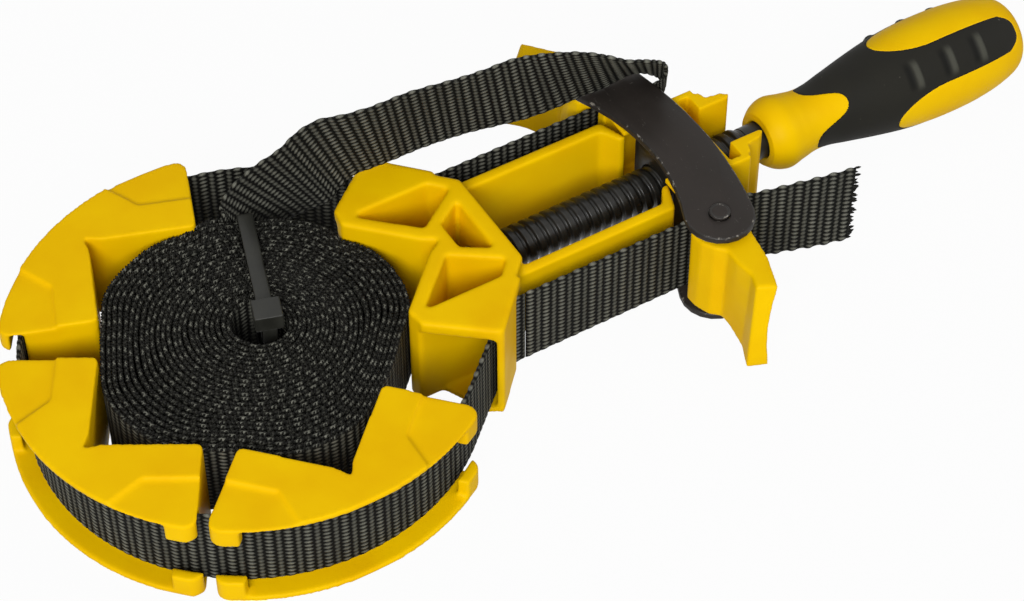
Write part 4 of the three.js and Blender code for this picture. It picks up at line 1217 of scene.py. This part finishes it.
def yarn_tree():
    tree = Tree("yarn_ends", {"length": 0.0012, "thickness": 0.0009, "height": 0.0009, "variation": 0.2})
    ball = tree.add("GeometryNodeMeshUVSphere", 6, 4, 0.5).outputs[0]
    turn = tree.add("FunctionNodeAlignRotationToVector", axis="X")
    tree.link(tree.named("direction", "FLOAT_VECTOR"), turn.inputs["Vector"])
    size = tree.add(
        "ShaderNodeCombineXYZ", tree.value("length"), tree.value("thickness"), tree.value("height"),
    ).outputs[0]
    vary = tree.group.nodes.new("FunctionNodeRandomValue")
    vary.data_type = "FLOAT"
    tree.link(tree.minus(1.0, tree.value("variation")), vary.inputs[2])
    tree.link(tree.plus(1.0, tree.value("variation")), vary.inputs[3])
    vary.inputs["Seed"].default_value = 11
    scaled = tree.add("ShaderNodeVectorMath", size, operation="SCALE")
    tree.link(vary.outputs[1], scaled.inputs["Scale"])
    placed = tree.group.nodes.new("GeometryNodeInstanceOnPoints")
    tree.link(tree.value("Geometry"), placed.inputs["Points"])
    tree.link(ball, placed.inputs["Instance"])
    tree.link(turn.outputs[0], placed.inputs["Rotation"])
    tree.link(scaled.outputs[0], placed.inputs["Scale"])
    real = tree.add("GeometryNodeRealizeInstances", placed.outputs[0]).outputs[0]
    tree.finish(tree.add("GeometryNodeSetShadeSmooth", real).outputs[0], WEBBING_EDGE)
    return tree


YARN_ENDS = yarn_tree()


def yarn_ends(name, points, directions, body, **sizes):
    """Points in the clamp's own millimetres, each with the way its yarn runs."""
    mesh = bpy.data.meshes.new(name)
    mesh.from_pydata([tuple(place(*p)) for p in points], [], [])
    way = mesh.attributes.new("direction", "FLOAT_VECTOR", "POINT")
    way.data.foreach_set("vector", np.asarray(directions, np.float32).reshape(-1))
    piece = YARN_ENDS.run(name, mesh, **{label: value * MM for label, value in sizes.items()})
    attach(piece, body)
    print(name, len(points), "yarns,", len(piece.data.polygons), "faces")
    return piece


# %% Frayed end of the tail


def frayed_end(low, high, count=26):
    rng = np.random.default_rng(5)
    out = (low[-1] - low[-4] + high[-1] - high[-4])
    out = out / np.linalg.norm(out)
    shares = (np.arange(count) + rng.uniform(0.1, 0.9, count)) / count
    points = low[-1] + (high[-1] - low[-1]) * shares[:, None] + out * rng.uniform(-0.7, 0.5, (count, 1))
    ways = out + rng.normal(0, 0.28, (count, 3))
    return points, ways


yarn_ends(
    "frayed_yarns", *frayed_end(*tail_edges), "frame", length=2.6, thickness=0.8, height=0.8,
)

# %% [markdown]
# The stored band is one spiral of 24 turns. Its outer turns stand out a little wherever the
# ring of jaws leaves them room. Seen from above only its edge shows, so each turn gets a
# slightly different height, as in a coil that was wound by hand. Two rows of small loops of
# yarn lie along every turn's edge and give it its beads.

# %% Stored coil
COIL_LOOPS = 24
COIL_OUTER, COIL_INNER = 37.7, 7.2
HOLE = np.array([4.0, 2.5])
TIE_FOOT, TIE_WAY = (5.4, 1.1), math.radians(71.9)
# Each bulge's place in degrees, its height in millimetres, its spread in degrees, and a power.
BULGES = [
    (0, 4.3, 26, 4), (115, 3.2, 24, 4), (197, 3.3, 28, 4), (269, 3.2, 24, 4), (61, 2.7, 28, 8),
    (38, 3.4, 12, 4),
]
GAP_ANGLE, GAP_SPREAD, GAP_RISE = math.radians(63), math.radians(36), 1.3
TIE_HALF_WIDTH, TIE_EASE = 2.6, 5
# Each wobble's height in millimetres, its waves in a turn, and how far it drifts each turn.
WOBBLES = ((0.09, 3.0, 2.1), (0.06, 5.0, 1.3))
COIL_EDGES = (0.6, 24.4)
KNOTS_PER_TURN, KNOT_SPREAD, MOST_LIFT = 3, 0.28, 0.6


def coil_bulge(angle):
    """How far the outer turns stand out, in millimetres, at each angle."""
    most = np.zeros_like(angle)
    for degrees, height, spread, power in BULGES:
        where = math.radians(degrees)
        off = np.arctan2(np.sin(angle - where), np.cos(angle - where)) / math.radians(spread)
        most = np.maximum(most, height * np.exp(-np.abs(off) ** power))
    return most


def far_side_rise(x, y, angle, share):
    """The outer turns stand higher at the open gap, except where the tie holds them down."""
    gap = (angle - GAP_ANGLE + math.pi) % (2 * math.pi) - math.pi
    near_gap = np.exp(-(gap / GAP_SPREAD) ** 4)
    from_tie = np.abs((x - TIE_FOOT[0]) * math.sin(TIE_WAY) - (y - TIE_FOOT[1]) * math.cos(TIE_WAY))
    free = np.clip((from_tie - TIE_HALF_WIDTH) / TIE_EASE, 0, 1)
    return GAP_RISE * near_gap * np.clip(1 - share * 2.2, 0, 1) * free


def coil_line(points_per_turn=120):
    turn = np.linspace(0, COIL_LOOPS, COIL_LOOPS * points_per_turn + 1)
    angle = COIL_END + turn * 2 * math.pi
    share = turn / COIL_LOOPS
    outer = np.clip(share * 2, 0, 1)
    outer = 1 - outer * outer * (3 - 2 * outer)
    radius = COIL_OUTER + (COIL_INNER - COIL_OUTER) * share + coil_bulge(angle) * outer
    for height, waves, drift in WOBBLES:
        radius = radius + height * np.sin(angle * waves + drift * turn)
    x = HOLE[0] * share + radius * np.cos(angle)
    y = HOLE[1] * share + radius * np.sin(angle)
    rng = np.random.default_rng(7)
    knots = rng.normal(0, KNOT_SPREAD, COIL_LOOPS * KNOTS_PER_TURN + 2)
    lift = np.interp(turn * KNOTS_PER_TURN, np.arange(len(knots)), knots)
    lift = np.clip(lift, -MOST_LIFT, MOST_LIFT)
    return x, y, lift + far_side_rise(x, y, angle, share)


x, y, lift = coil_line()
low, high = (np.stack([x, y, COIL_LOW + edge + lift], axis=1) for edge in COIL_EDGES)
coil = woven(
    "band_coil_looks", "band_coil", low, high, step=0.8, columns=6, wave=0.0,
    thickness=1.15, relief=0.15, selvedge=0.7,
)
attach(coil, "head")

# %% Loops on the coil's edge
EDGE_LEAN = math.radians(35)
LOOP_PITCH, LOOP_SIZES = 1.0, {"length": 1.0, "thickness": 0.62, "height": 0.8}
# Each row's name, how far it is beside the turn's middle, and where it starts.
LOOP_ROWS = (("coil_edge_loops_out", -0.33, 0.3), ("coil_edge_loops_in", 0.33, 0.8))


def edge_loops(line, pitch, beside, start):
    """Places along a line, moved to one side of it, and the way each loop lies there."""
    reach = np.concatenate([[0], np.cumsum(np.linalg.norm(np.diff(line, axis=0), axis=1))])
    rng = np.random.default_rng(3)
    at = np.arange(start, reach[-1] - 1, pitch)
    at = at + rng.uniform(-0.12, 0.12, len(at))
    take = lambda where: np.stack([np.interp(where, reach, line[:, k]) for k in range(3)], axis=1)
    points, ahead = take(at), take(at + 0.3) - take(at)
    side = np.stack([-ahead[:, 1], ahead[:, 0], np.zeros(len(at))], axis=1)
    side = side / np.linalg.norm(side, axis=1)[:, None]
    points = points + side * (beside + rng.uniform(-0.08, 0.08, (len(at), 1)))
    return points, ahead * math.cos(EDGE_LEAN) + side * 0.3 * math.sin(EDGE_LEAN)


for name, beside, start in LOOP_ROWS:
    rows = edge_loops(high - [0, 0, 0.2], LOOP_PITCH, beside, start)
    yarn_ends(name, *rows, "head", **LOOP_SIZES)

# %% [markdown]
# The cable tie holds the coil. Its strap and head are rounded copies of their CAD nodes.

# %% Cable tie
for name in ("tie_strap", "tie_head"):
    rounded_copy(name, 0.45, TIE_NYLON)
print("cable tie made")

# %% [markdown]
# A plain pale floor, a white surround for the camera, an even sky, and soft lamps: a broad
# one from the camera's left, a weaker one from the right, and a faint one from above.

# %% Floor, surround and lamps
FLOOR_REACH, FLOOR_GLOW, SKY_STRENGTH = 3.0, 0.96, 0.31
# Each lamp's place and size in metres, and its power in watts.
LAMPS = {
    "key": ((-0.9, -1.1, 1.0), 0.9, 26.0), "fill": ((1.1, -0.7, 0.9), 1.0, 5.0),
    "top": ((0.1, 0.6, 1.6), 1.0, 2.0),
}


def seen(tree):
    """1 on the camera's rays, straight or by way of gloss or glass, and 0 on all others."""
    rays = node(tree, "ShaderNodeLightPath")
    straight = maths(tree, "MAXIMUM", rays.outputs["Is Camera Ray"], rays.outputs["Is Glossy Ray"])
    return maths(tree, "MAXIMUM", straight, rays.outputs["Is Transmission Ray"])


def pale_floor():
    reach = FLOOR_REACH
    mesh = bpy.data.meshes.new("floor")
    corners = [(-reach, -reach, 0), (reach, -reach, 0), (reach, reach, 0), (-reach, reach, 0)]
    mesh.from_pydata(corners, [], [(0, 1, 2, 3)])
    finish = bpy.data.materials.new("floor")
    finish.use_nodes = True
    tree = finish.node_tree
    shader = tree.nodes["Principled BSDF"]
    shader.inputs["Base Color"].default_value = (0.5, 0.5, 0.5, 1)
    shader.inputs["Roughness"].default_value = 0.9
    shader.inputs["Specular IOR Level"].default_value = 0.1
    glow = node(tree, "ShaderNodeEmission", (1, 1, 1, 1), 1.0)
    share = times(tree, seen(tree), FLOOR_GLOW)
    mix = node(tree, "ShaderNodeMixShader", share, shader.outputs[0], glow.outputs[0])
    tree.links.new(mix.outputs[0], tree.nodes["Material Output"].inputs[0])
    floor = mesh_piece("floor", mesh, finish)


def surround():
    world = bpy.data.worlds.new("surround")
    world.use_nodes = True
    bpy.context.scene.world = world
    tree = world.node_tree
    tree.nodes.clear()
    sky = node(tree, "ShaderNodeBackground", (1, 1, 1, 1), SKY_STRENGTH)
    white = node(tree, "ShaderNodeBackground", (1, 1, 1, 1), 1.0)
    mix = node(tree, "ShaderNodeMixShader", seen(tree), sky.outputs[0], white.outputs[0])
    out = node(tree, "ShaderNodeOutputWorld")
    tree.links.new(mix.outputs[0], out.inputs[0])


def lamp(name, at, size, power):
    data = bpy.data.lights.new(name, "AREA")
    data.shape = "DISK"
    data.size = size
    data.energy = power
    back = Vector(at).normalized()
    turned = back.to_track_quat("Z", "Y").to_matrix().to_4x4()
    linked(name, data).matrix_world = Matrix.Translation(at) @ turned


pale_floor()
surround()
for name, settings in LAMPS.items():
    lamp(name, *settings)
bpy.context.scene.view_settings.view_transform = "Standard"
print("floor, surround and lamps set")
